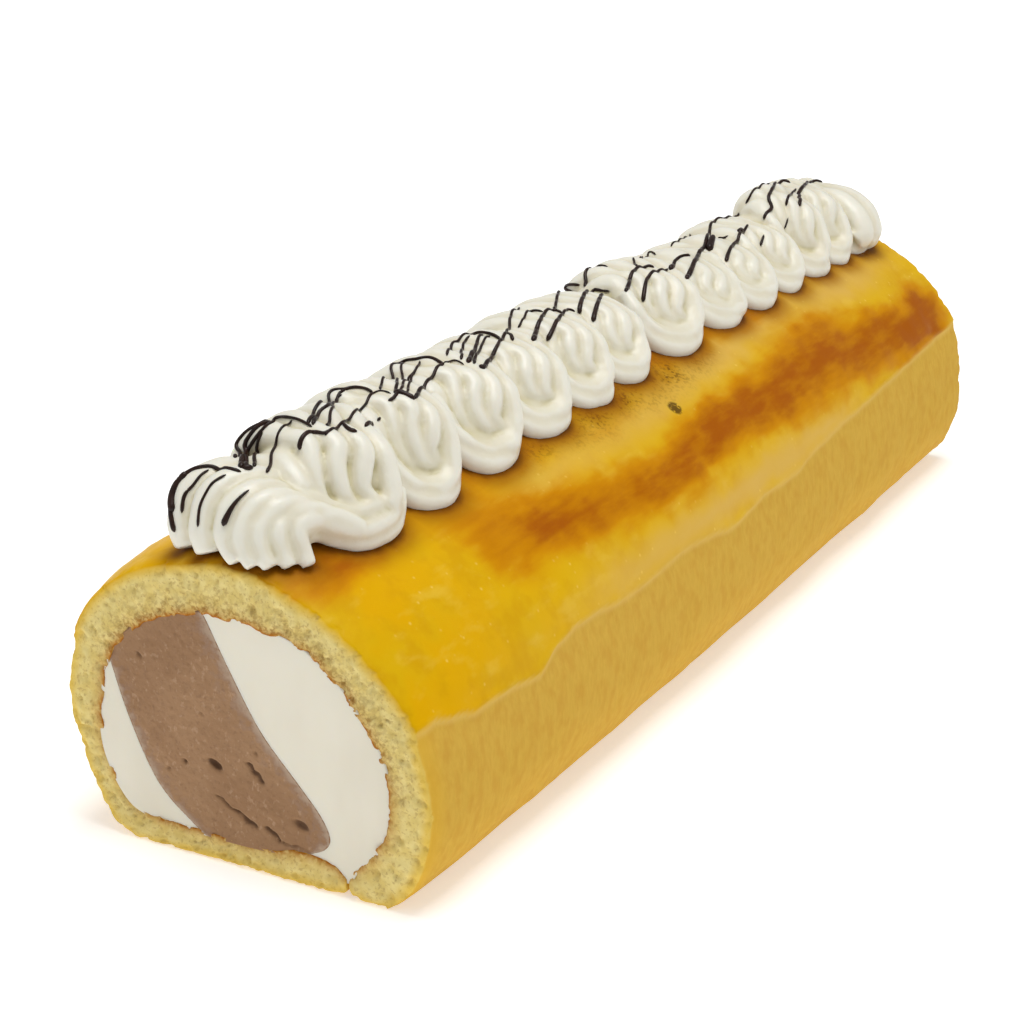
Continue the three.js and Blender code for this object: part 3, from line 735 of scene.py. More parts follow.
def dents(x, z):
    """Depth of the holes and cracks at places of the cut. A hole is its depth times e^-(r^4), with r
    the distance from its middle in half sizes; a crack the same with the distance from its line."""
    total = np.zeros_like(x)
    for middle_x, middle_z, wide, tall, lean, deep in HOLES:
        along = np.array([np.cos(np.radians(lean)), -np.sin(np.radians(lean))])
        a = (x - middle_x) * along[0] + (z - middle_z) * along[1]
        b = (x - middle_x) * -along[1] + (z - middle_z) * along[0]
        total += deep * np.exp(-((a / wide) ** 2 + (b / tall) ** 2) ** 2)
    wander = 0.35 * lattice_noise(np.stack([x, z, x * 0], -1), 1.6, 51)
    for x0, z0, x1, z1, half, deep in CRACKS:
        line = np.array([x1 - x0, z1 - z0])
        share = np.clip(((x - x0) * line[0] + (z - z0) * line[1]) / (line @ line), 0, 1)
        off = np.hypot(x - x0 - share * line[0] + wander, z - z0 - share * line[1] + wander)
        total += deep * np.exp(-(off / half) ** 2)
    return total


# %% The three parts of the filling
FILLING_SET_BACK = 0.25        # of the cream's cut behind the crumb's
WALL_STEPS = 24                # along the roll
NO_EDGE = 5.0                  # noted on the walls as their distance from a stripe's edge


def filling_part(name, left, right, top, bottom, coarse):
    """A prism with two cut faces and four walls. The cut is pushed by soft noise, and where the
    cream is coarse also by grain, holes and cracks, which fade towards the edges of the part."""
    flat = coons(left, right, top, bottom)
    s = np.linspace(0, 1, len(top))[:, None]
    t = np.linspace(0, 1, len(left))[None, :]
    inner = np.minimum(1, 12 * s * (1 - s)) * np.minimum(1, 12 * t * (1 - t))
    x, z = flat[..., 0], flat[..., 1]
    to_edges = {"from_right": np.linalg.norm(flat - right, axis=-1),
                "from_left": np.linalg.norm(flat - left, axis=-1)}
    caps = []
    for distance, sign in ((0.0, -1), (LENGTH, 1)):
        place = np.stack([x, x * 0 + 90 * sign, z], -1)
        push = -FILLING_SET_BACK + 0.22 * layered_noise(place, 15, 61, 2)
        holes = np.zeros_like(x)
        if coarse:
            holes = dents(x if sign < 0 else -x, z) * inner
            push = push + 0.16 * inner * layered_noise(place, 1.3, 63) - holes
        scale = section_scale(distance)
        points = np.stack([x * scale, x * 0 + FRONT + distance + sign * push, z * scale], -1)
        caps.append((points, {"hole": holes} | to_edges))
    # walls: the rim of the front face joined to the rim of the back face, round corner by corner
    start, end = (np.concatenate([cap[:, 0], cap[-1, 1:], cap[-2::-1, -1], cap[0, -2::-1]])[:, None]
                  for cap, _ in caps)
    share = np.linspace(0, 1, WALL_STEPS)[None, :, None]
    wall = start * (1 - share) + end * share
    straight = section_scale(0.0) * (1 - share) + section_scale(LENGTH) * share
    wall[..., [0, 2]] *= section_scale(share * LENGTH) / straight
    blank = {key: np.full(wall.shape[:2], 0.0 if key == "hole" else NO_EDGE) for key in caps[0][1]}
    return closed_surface(name, caps + [(wall, blank)])


ACROSS_BROWN, ACROSS_WHITE = 96, 44
brown_mesh = filling_part("brown_cream_band_cut", left_edge, right_edge,
                          outline_part(left_ends[0], right_ends[0], ACROSS_BROWN, backwards=True),
                          outline_part(left_ends[1], right_ends[1], ACROSS_BROWN), True)
near_side = outline_part(right_ends[0], right_ends[1], DOWN_STEPS, backwards=True)
far_side = outline_part(left_ends[0], left_ends[1], DOWN_STEPS)


def pointed(line):
    """The top and bottom edges of a part that runs to a point: one place repeated."""
    return np.repeat(line[:1], ACROSS_WHITE, 0), np.repeat(line[-1:], ACROSS_WHITE, 0)


near_mesh = filling_part("white_cream_near_cut", right_edge, near_side, *pointed(right_edge), False)
far_mesh = filling_part("white_cream_far_cut", far_side, left_edge, *pointed(left_edge), False)

# %% [markdown]
# ## The finishes of the filling
#
# The white cream is smooth and slightly glossy, a warm grey-white in this light, with soft knife
# smears. The brown cream is a matte taupe with a fine grain of darker and lighter specks, with
# painted shade in its holes and cracks, and paler and greyer where white cream is dragged into its
# edges.

# %% Filling finishes
white_cream = Finish("white_filling", 0.5, 0.3, subsurface=0.25, glow_reach=3)
smear = white_cream.slope(white_cream.noise(16, 3, stretch=(1, 1, 2.4)), 0.3, 0.7)
white_cream.set("Base Color", white_cream.blend(smear, seen(234, 228, 210), seen(228, 221, 202)))
white_cream.relief(white_cream.noise(5, 4), 0.08)

brown_cream = Finish("brown_filling", 0.7, 0.3, subsurface=0.05, glow_reach=1.5)
clouds = brown_cream.slope(brown_cream.noise(13, 3), 0.35, 0.65)
tone = brown_cream.blend(clouds, seen(161, 124, 89), seen(151, 114, 80))
tone = brown_cream.over(tone, (120, 88, 64), brown_cream.noise(0.8, 3), 0.52, 0.72, 0, 0.35)
light_specks = brown_cream.noise(1.0, 3, stretch=(1, 1, 1.3))
tone = brown_cream.over(tone, (200, 166, 134), light_specks, 0.56, 0.74, 0, 0.35)
ragged = brown_cream.slope(brown_cream.noise(2.2, 4), 0.3, 0.7, 0.3, 2.2)
for side_name, reach in (("from_right", 1.6), ("from_left", 1.1)):
    near_edge = brown_cream.count('DIVIDE', brown_cream.value(side_name), ragged)
    tone = brown_cream.over(tone, (146, 122, 108), near_edge, 0.0, reach * 2.4, 0.55, 0)
    tone = brown_cream.over(tone, (196, 176, 152), near_edge, 0.0, reach, 0.5, 0)
# painted shade in the holes and cracks
tone = brown_cream.over(tone, (84, 56, 36), brown_cream.value("hole"), 0.1, 0.7, 0, 0.8)
brown_cream.set("Base Color", tone)
brown_cream.relief(brown_cream.noise(0.7, 4), 0.14)

add_piece(near_mesh, "white_cream_near", white_cream.material)
add_piece(far_mesh, "white_cream_far", white_cream.material)
add_piece(brown_mesh, "brown_cream_band", brown_cream.material)

# %% [markdown]
# ## The piped cream
#
# The strip was piped with a star nozzle held low, which swung from side to side: each swing left a
# frill, a fan of ribs that comes over the crest from the left, falls to the right and turns back
# under itself in a round lobe. The first stroke, at the front, leans over backwards. A rib is a
# round tube along a smooth curve. All ribs and a bar under them are melted into one skin by a voxel
# remesh, which also rounds the grooves as soft cream does; modelling the valleys by hand would take
# far longer and a boolean union would leave them knife-sharp.

# %% Routes of the ribs
FRILLS = [35.5, 56, 80.5, 101, 120, 137.5, 164, 186.5, 204.5, 220.5, 236, 249.5, 261]
CRESTS = [1.09, 0.97, 0.82, 0.7, 0.67, 0.58, 0.67, 0.38, 0.35, 0.48, 0.88, 0.8, 0.6]    # height of each
LAGS = [5.5, 1, 1.5, 0, 1, 0, 3, 2.5, 1, 1, 4, 2, 2]   # how far the left end of each lies further back
LEFT_REACH = [0.9, 1, 1, 1, 1, 1, 0.82, 0.92, 0.95, 0.85, 0.45, 0.55, 0.6]      # of each to the left
FIRST_PITCH, PITCH = 21, 20
LAST_REACH = 263               # past it the last frill is pressed together at the far end
FOOT, RIDGE_SHARE = 1.5, 0.6     # heights grow from the foot; the ribbon's follow by this share
# The four ribs of a fan, from first to last. Each waypoint is x, distance behind the frill's middle,
# height above the sponge and radius: left foot, shoulder, crest, over the crest, knuckle, fall and
# lower end. The last rib's lower end passes into the lobe's rim.
FAN = [
    [(-15.8, -9.6, 3.5, 2.6), (-15.3, -10, 9.6, 2.9), (-10, -9.2, 13, 2.9), (-4, -7.8, 12.6, 2.4),
     (0.4, -5.6, 12.7, 2.2), (3, -7, 10.4, 2.0), (4.6, -8.6, 7.8, 1.8), (6.2, -8.8, 5.4, 1.6),
     (8.4, -7, 3.6, 1.4), (10.4, -4, 3, 1.2)],
    [(-16.4, -4.8, 3.5, 2.6), (-15.2, -5, 10.2, 2.9), (-8.5, -4.6, 13.4, 2.9), (-1.5, -3.6, 12.8, 2.4),
     (4.4, -2.8, 12.5, 2.2), (6.2, -5, 10.4, 2.0), (7.4, -6.2, 7.8, 1.8), (8.8, -6, 5.6, 1.6),
     (10.4, -4, 4.2, 1.4), (11.4, -2, 3.6, 1.2)],
    [(-15, 0.2, 3.5, 2.6), (-13.4, 0, 9.8, 2.9), (-6, 0.4, 13, 2.8), (1.3, 0.6, 12.2, 2.4),
     (7.2, -0.4, 12, 2.2), (9, -2.6, 9.6, 2.0), (9.8, -3.8, 7.2, 1.7), (11, -3, 5.2, 1.5),
     (12.2, -1.4, 4.2, 1.3)],
    [(-12.2, 4.8, 3.5, 2.5), (-10.4, 4.8, 8.8, 2.8), (-3, 4.6, 11.8, 2.6), (3.8, 4.2, 11.2, 2.3),
     (8.8, 2.4, 10.8, 2.2), (11.2, 1, 8.8, 2.0), (12.8, -0.4, 6.6, 1.9), (13.7, -2, 4.8, 1.8)]]
# The lobe under the fan is a ribbon turned on edge, with a ridge along each edge and a belly: the
# outer ridge carries on from the last rib, round to the front and high up beside the fan before.
OUTER_RIDGE = [(13.9, -4, 3.2, 1.8), (13.3, -6.6, 2.3, 1.8), (12, -9.6, 2.2, 1.8), (10.6, -11.9, 3, 1.8),
               (9, -13.2, 4.4, 1.8), (7.3, -13.9, 6, 1.8), (5.6, -13.8, 7.6, 1.8), (3.8, -13.2, 9, 1.8),
               (1.6, -12.2, 10.2, 1.7)]
INNER_RIDGE = [(12, -0.6, 6.2, 1.5), (12.8, -2.8, 4.2, 1.6), (12.5, -5.6, 2.8, 1.6), (11.2, -8.2, 2.3, 1.6),
               (9.6, -10.4, 2.6, 1.6), (7.9, -11.6, 3.8, 1.6), (6.2, -12.2, 5.6, 1.6), (4.2, -11.8, 7.6, 1.5)]
BELLY = [(11, 1.6, 4.4, 1.8), (12.8, -1.2, 2.8, 2.0), (13.9, -3.8, 1.0, 2.1), (13.9, -7.6, 0.6, 2.1),
         (12.9, -11, 0.6, 2.1), (11, -13.2, 1.2, 2.1), (8.8, -14.4, 2.4, 2.1), (6.4, -14.6, 4.4, 2.1),
         (4, -14, 6.4, 2.1)]
# Thick hidden ribs that fill the frill from within.
HEARTS = [[(-9, -3, 5, 5), (-5, -3, 6.5, 6), (0, -3, 5.4, 5.4), (3.6, -3.6, 3.4, 4.6), (8, -3.6, 0.6, 3)],
          [(4.5, -9.5, 3, 2.4), (7.5, -9, 1.8, 2.4), (9.8, -7, 1.4, 2.4), (11, -4.5, 1.4, 2.2)],
          [(-1, -5.6, 7.2, 3.5), (2.4, -3.4, 7, 3.5), (5.6, -0.4, 6.4, 3.2), (8, 2, 4.8, 2.6)],
          [(7, 1, 8, 3), (10, 0.4, 6.4, 2.8), (11.4, -1.8, 4, 2.2), (11, -4.2, 2, 1.8)],
          [(-13, -12.6, 3, 2.6), (-10, -12.6, 7.4, 3), (-4.6, -11.2, 10.4, 3.3), (-0.6, -10.4, 10.2, 3.1),
           (2, -11.8, 8, 2.8), (3.6, -14, 5.4, 2.6)]]
# The first lobe's ribbon comes out of the front stroke instead.
FIRST_OUTER_RIDGE = [(13.2, -2, 4.4, 1.9), (13.9, -5.6, 3.5, 1.9), (14, -10.2, 3.2, 1.9),
                     (12.8, -14.2, 3.5, 1.9), (10.8, -17.6, 4.4, 2.0), (8.8, -20.4, 5.6, 2.1),
                     (7.9, -23.4, 6.1, 2.2), (7.2, -26, 5.4, 2.2)]
FIRST_INNER_RIDGE = [(11.6, -0.4, 6.6, 1.7), (12.4, -3.6, 5.2, 1.7), (12.1, -8.2, 4.8, 1.7),
                     (10.7, -12.4, 4.9, 1.7), (8.4, -15.6, 5.2, 1.9), (6, -18.6, 6.6, 2.1),
                     (4.6, -22, 7.2, 2.2)]
FIRST_BELLY = [(11, 2, 4.6, 1.8), (12.7, -1, 3, 2.0), (13.8, -4.6, 1.4, 2.1), (13.6, -9.6, 1, 2.1),
               (12.4, -13.7, 1, 2.1), (10.2, -17, 1.8, 2.1), (8, -20, 2.8, 2.2), (7, -23.6, 3.2, 2.2)]
FIRST_HEARTS = [
    [(-9, -10, 5, 5.6), (-4, -10.5, 6.6, 6.4), (0, -11, 6.4, 6), (4, -9.4, 4.4, 5.2), (8.4, -7.4, 1, 3.6)],
    [(0, -14, 7.4, 4.2), (3, -9.5, 7, 4.4), (6, -5.5, 6.2, 4), (8.6, -1, 5.2, 3.5)],
    [(6, -2, 3, 3), (9, -3, 2.6, 3), (11, -5.5, 1.6, 2.4)],
    [(-10, -16.6, 4, 4), (-7, -17, 8, 4), (-2.6, -17.6, 9, 3.8), (1, -17.6, 8, 3.6),
     (3.6, -18.6, 6.4, 3.2)]]
FIRST_EARLIER = (7, 5.5, 4, 2.5)     # how much nearer the front the first fan's four ribs lie
uneven = np.random.default_rng(7)


def risen(route, crest):
    """The route with its heights above the foot scaled by a factor."""
    route = np.array(route, float)
    route[:, 2] = np.where(route[:, 2] > FOOT, FOOT + (route[:, 2] - FOOT) * crest, route[:, 2])
    return route


def frill(crest, first):
    """Routes of one frill's ribs: the fan, the ribbon of its lobe and the hearts under them."""
    fan = [risen(rib, crest) for rib in FAN]
    ribbon, hearts = [OUTER_RIDGE, INNER_RIDGE, BELLY], HEARTS
    if first:
        ribbon, hearts = [FIRST_OUTER_RIDGE, FIRST_INNER_RIDGE, FIRST_BELLY], FIRST_HEARTS
        for rib, earlier in zip(fan, FIRST_EARLIER):
            rib[:, 1] -= earlier
            rib[3:, 3] *= 1.1
    ribbon = [risen(route, 1 - RIDGE_SHARE + RIDGE_SHARE * crest) for route in ribbon]
    fan[3] = np.vstack([fan[3], ribbon[0]])
    return fan + ribbon[1:] + [risen(route, crest) for route in hearts]


# Ribs of the front stroke from left to right: x, distance, height of the top and width against the
# others. They bend back in a row round the front right.
FRONT_RIBS = [(-14.2, 5, 10.6, 1.5), (-8.4, 2.9, 10.4, 1.35), (-3.2, 1.8, 9.8, 0.98), (0.2, 1.9, 9.3, 0.85),
              (2.9, 3.2, 8.6, 0.8), (5.4, 5.8, 7.6, 0.8), (7.7, 8.8, 6.4, 0.82)]


def front_stroke():
    """Routes of the first stroke's ribs. Each rises from a tip at the cake's edge that points to the
    right, bulges left, and leans over backwards: x, distance and height are the row's own plus the
    rib's curve. The last two pass into the first lobe's ribbon."""
    routes = []
    for x, distance, top, wide in FRONT_RIBS:
        tip = 1 if wide <= 1 else 0.3
        curve = [(3.0 * tip, -1.0, 0.9, 1.75), (1.1 * tip, -0.4, 2.8, 2.2), (0, 0, 5.6, 2.35),
                 (0.1, 2.3, top - 1.2, 2.5), (1.2, 5.3, top, 2.5), (2.9, 9, top - 0.6, 2.5),
                 (5.4, 12.4, top - 2.4, 2.4)]
        route = np.array(curve)
        route[:, 0] = x + route[:, 0] * max(1, 1.3 * (wide > 1))
        route[:, 1] += distance
        route[:, 3] *= wide
        routes.append(route)
    heart = [(-13, 8.5, 5, 4.5), (-8, 7, 6, 5.2), (-2, 8, 5, 5), (3, 10.5, 4, 4.4), (7, 14, 2.5, 3.6)]
    behind = [(-10, 16, 6.4, 5), (-5, 18, 7.4, 5.4), (0, 19, 6.6, 5), (4, 20, 5, 4.4)]
    return routes + [np.array(heart), np.array(behind)]


# The end of the strip: the nozzle was lifted off in a thick swirl at the far right.
TAIL = [
    [(-13, 261, 3, 3), (-11.5, 262, 5.5, 3.2), (-5, 262.5, 6.6, 3.4), (2, 262.5, 7.0, 3.5),
     (8.5, 261.8, 8, 3.8), (13, 260.5, 7.8, 3.7), (15.2, 259, 5, 3.4), (13.5, 257, 3, 3)],
    [(-8, 258, 5.5, 3.2), (0, 258.5, 6.4, 3.4), (7, 258, 7.8, 3.6), (12, 256.6, 7.6, 3.5),
     (14.6, 255, 5.2, 3.4), (13.6, 253, 3, 3)],
    [(-4, 262.5, 3.5, 3.4), (3, 263, 4.2, 3.6), (10, 262.4, 4.6, 3.6), (14.2, 261, 3.2, 3.3),
     (13, 258.6, 2, 3)]]


def strip_routes():
    """Routes of every rib, each [x, distance, height above the sponge, radius]. A frill that lies
    close behind the one before it is squeezed along the roll and its ribs are thinner. Small seeded
    shifts keep any two frills from being alike."""
    routes = front_stroke()
    for k, middle in enumerate(FRILLS):
        before = FRILLS[k - 1] if k else middle - FIRST_PITCH
        squeeze = (middle - before) / PITCH
        for route in frill(CRESTS[k], k == 0):
            x, behind, height, radius = route.T.copy()
            x = x + uneven.normal(0, 0.18, len(x))
            place = middle + behind * (0.4 + 0.6 * squeeze) + LAGS[k] * step_up(-x, 3, 12)
            x = np.where(x < 0, x * LEFT_REACH[k], x)
            place = np.where(place > LAST_REACH, LAST_REACH + (place - LAST_REACH) * 0.45, place)
            height = height + uneven.normal(0, 0.15, len(x)) * (height > 4)
            radius = radius * (0.72 + 0.28 * min(squeeze, 1.15)) * (1 + uneven.normal(0, 0.02))
            routes.append(np.stack([x, place, height, radius], -1))
    return routes + [np.array(route) for route in TAIL]


# %% Tubes along the routes
LEAN = np.array([0.4, 0.6, 0.69])        # no rib ever runs along this direction
RIB_SIDES = 20


def rib_line(route, samples=70):
    """A rib's centre line and radii: a smooth curve through its waypoints, standing on the sponge."""
    line = smooth_curve(route, samples)
    x, distance, height, radius = line.T
    return np.stack([x, FRONT + distance, sponge_top(x, distance) + height], -1), radius


def tube(centres, radii, sides):
    """A closed tube: round each centre a ring of points at its radius, square to the line. The
    ring's first direction is the line's direction crossed with a fixed lean. The two ends run
    together in points."""
    direction = np.gradient(centres, axis=0)
    direction /= np.linalg.norm(direction, axis=1)[:, None]
    first = np.cross(direction, LEAN)
    first /= np.linalg.norm(first, axis=1)[:, None]
    second = np.cross(direction, first)
    angle = np.linspace(0, 2 * np.pi, sides, endpoint=False)[None, :, None]
    ends = np.concatenate([[0.0], radii, [0.0]])[:, None, None]
    centres, first, second = (np.concatenate([a[:1], a, a[-1:]])[:, None] for a in (centres, first, second))
    return centres + ends * (np.cos(angle) * first + np.sin(angle) * second)


def tubes_mesh(name, rings_list):
    """One mesh of many tubes, given by their rings of points (rings, sides, 3)."""
    points, faces, start = [], [], 0
    for rings in rings_list:
        count, sides = rings.shape[:2]
        corner = start + np.arange(count * sides).reshape(count, sides)
        beside = np.roll(corner, -1, 1)
        squares = [corner[:-1], beside[:-1], beside[1:], corner[1:]]
        faces.append(np.stack(squares, -1).reshape(-1, 4))
        points.append(rings.reshape(-1, 3))
        start += count * sides
    mesh = make_mesh(name, np.concatenate(points), np.concatenate(faces))
    weld(mesh, 0.001)
    return mesh


routes = strip_routes()
lines = [rib_line(route) for route in routes]
rib_rings = [tube(centres, radii, RIB_SIDES) for centres, radii in lines]
print(len(routes), "ribs")

# %% The bar under the ribs, and one skin over all
def keep_largest(mesh):
    """Deletes all of a mesh but its largest connected part, such as bubbles sealed in between the
    ribs. Every point starts with its own number; numbers of joined points are evened out to the
    smallest until nothing changes."""
    one, other = edge_ends(mesh)
    label = np.arange(len(mesh.vertices))
    while True:
        smallest = np.minimum(label[one], label[other])
        new = label.copy()
        np.minimum.at(new, one, smallest)
        np.minimum.at(new, other, smallest)
        new = new[new]
        if (new == label).all():
            break
        label = new
    numbers, counts = np.unique(label, return_counts=True)
    loose = label != numbers[counts.argmax()]
    work = bmesh.new()
    work.from_mesh(mesh)
    work.verts.ensure_lookup_table()
    bmesh.ops.delete(work, geom=[work.verts[k] for k in np.flatnonzero(loose)], context='VERTS')
    work.to_mesh(mesh)
    work.free()
    print("sealed-in parts dropped:", len(numbers) - 1, "with", int(loose.sum()), "points")


# The bar's section is the upper half of an ellipse, which follows the frills in width and height.
BAR_LEFT, BAR_RIGHT = -13.5, 1.5
BAR_START, BAR_END = 8, 263
BAR_RISE = [(0, 0.3), (12, 0.5), (26, 0.9)]     # distance and share of its height before the first frill
BAR_STEPS, BAR_SIDES = 60, 48
bar_distance = np.linspace(BAR_START, BAR_END, BAR_STEPS)[:, None]
bar_angle = np.linspace(0, 2 * np.pi, BAR_SIDES, endpoint=False)[None, :]
bar_left = BAR_LEFT * np.interp(bar_distance, FRILLS, LEFT_REACH)
bar_x = (bar_left + BAR_RIGHT) / 2 + (BAR_RIGHT - bar_left) / 2 * np.cos(bar_angle)
bar_tall = 1.5 + 9 * np.interp(bar_distance, *zip(*BAR_RISE, *zip(FRILLS, CRESTS)))
bar_z = sponge_top(bar_x, bar_distance) + 1 + np.maximum(bar_tall * np.sin(bar_angle), -2)
bar = np.stack([bar_x, FRONT + bar_distance + 0 * bar_x, bar_z], -1)
bar_ends = [bar[k].mean(0, keepdims=True).repeat(BAR_SIDES, 0)[None] for k in (0, -1)]
bar = np.concatenate([bar_ends[0], bar, bar_ends[1]])

VOXEL = 0.52                   # size of the grid that the skin is made on
KEPT_FACES = 0.6               # share of the skin's faces that stay
cream_mesh = tubes_mesh("piped_cream_frills", rib_rings + [bar])
cream_object = placed("cream_work", cream_mesh)
remesh = cream_object.modifiers.new("melt", 'REMESH')
remesh.mode, remesh.voxel_size = 'VOXEL', VOXEL * MM
soften = cream_object.modifiers.new("soften", 'SMOOTH')
soften.factor, soften.iterations = 0.5, 1
thin_out = cream_object.modifiers.new("thin_out", 'DECIMATE')
thin_out.ratio = KEPT_FACES
graph = bpy.context.evaluated_depsgraph_get()
melted = bpy.data.meshes.new_from_object(cream_object.evaluated_get(graph))
bpy.data.objects.remove(cream_object)
bpy.data.meshes.remove(cream_mesh)
melted.name = "piped_cream_frills"
keep_largest(melted)
print("melted cream:", len(melted.vertices), "points")

# %% [markdown]
# Whipped cream is never quite smooth: the nozzle drags faint lines and tiny air bubbles open at the
# surface. The melted skin is pushed along its normals by noise at two sizes. Each point also notes
# how hollow or raised its surroundings are, so that the finish can paint shade into the grooves and
# a highlight onto the ridges.

# %% Unevenness of the cream
def hollowness(mesh, rounds=14):
    """How far the middle of a point's surroundings lies outside it along its normal, in
    millimetres: over 0 in a groove, under 0 on a ridge. The middle is found by replacing every
    place by the mean of its neighbours, again and again."""
    one, other = edge_ends(mesh)
    start, end = np.concatenate([one, other]), np.concatenate([other, one])
    own = middle = places_of(mesh)
    neighbours = np.bincount(start, minlength=len(own))[:, None]
    for _ in range(rounds):
        sums = [np.bincount(start, column[end], len(own)) for column in middle.T]
        middle = np.stack(sums, -1) / neighbours
    return ((middle - own) * at_points(mesh, "normal")).sum(1)


hollow = hollowness(melted)
print("hollowness from", hollow.min().round(2), "to", hollow.max().round(2), "mm")
place, normal = places_of(melted), at_points(melted, "normal")
rough = 0.1 * layered_noise(place, 4, 71) + 0.04 * lattice_noise(place, 1.4, 73)
melted.vertices.foreach_set("co", ((place + normal * rough[:, None]) * MM).ravel())
note(melted, "hollow", hollow)

piped = Finish("piped_cream", 0.36, 0.4, subsurface=0.12, glow_reach=2)
blush = piped.noise(9, 3)
ivory = piped.blend(piped.slope(blush, 0.3, 0.7), seen(226, 221, 201), seen(222, 215, 193))
# painted shade: an olive grey in the grooves
ivory = piped.over(ivory, (200, 190, 146), piped.value("hollow"), 0.05, 0.6, 0, 0.8)
# painted highlight: paler on the ridges
ivory = piped.over(ivory, (234, 232, 220), piped.value("hollow"), -0.35, 0.0, 0.7, 0)
piped.set("Base Color", ivory)
piped.relief(piped.noise(2.5, 5), 0.1)
cream_piece = add_piece(melted, "piped_cream", piped.material)

# %% Painted contact shade on the skin beside the cream
CONTACT_SHADE_REACH = 4.4               # how far from the cream the painted shade reaches
FOOT_HEIGHT = 1.5              # the cream's foot is what lies lower than this over the sponge
STRIP_HALF = 28                # half width of the skin that is near enough to be looked at
foot = places_of(melted)
foot = foot[foot[:, 2] < sponge_top(foot[:, 0], foot[:, 1] - FRONT) + FOOT_HEIGHT][::5]
skin_places = places_of(sheet_mesh)
near = np.flatnonzero((skin_places[:, 2] > CROWN_FROM) & (np.abs(skin_places[:, 0]) < STRIP_HALF))
to_foot = [np.linalg.norm(skin_places[part, None] - foot[None], axis=-1).min(1)
           for part in np.array_split(near, 40)]
contact_shade_values = np.zeros(len(skin_places))
contact_shade_values[near] = np.exp(-(np.concatenate(to_foot) / CONTACT_SHADE_REACH) ** 1.5)
note(sheet_mesh, "painted_contact_shade", contact_shade_values)
print("skin points near the cream:", len(near), "feet", len(foot))

# %% [markdown]
# ## The chocolate
#
# Melted chocolate was flicked across the strip. It set in thin strands that climb over the crest of
# each frill, thicker where it pooled and drawn out to points elsewhere. Particles or random curves
# would cross the cream anyhow, but each strand belongs to its crest, so each has a route of its own:
# a tube along a smooth curve through a few places. Each place is where the camera's ray through a
# given point meets the cream. A shrinkwrap modifier then carries the curve to the nearest point of
# the cream, which is surer than working out the surface of so many ribs.

# %% Strands laid on the cream
STRAND = 0.3                   # radius of a usual strand
STRAND_STEP = 0.45             # between two rings of a strand
STRAND_LIFT = 0.15             # of a strand's middle above the cream
STRAND_SIDES = 8
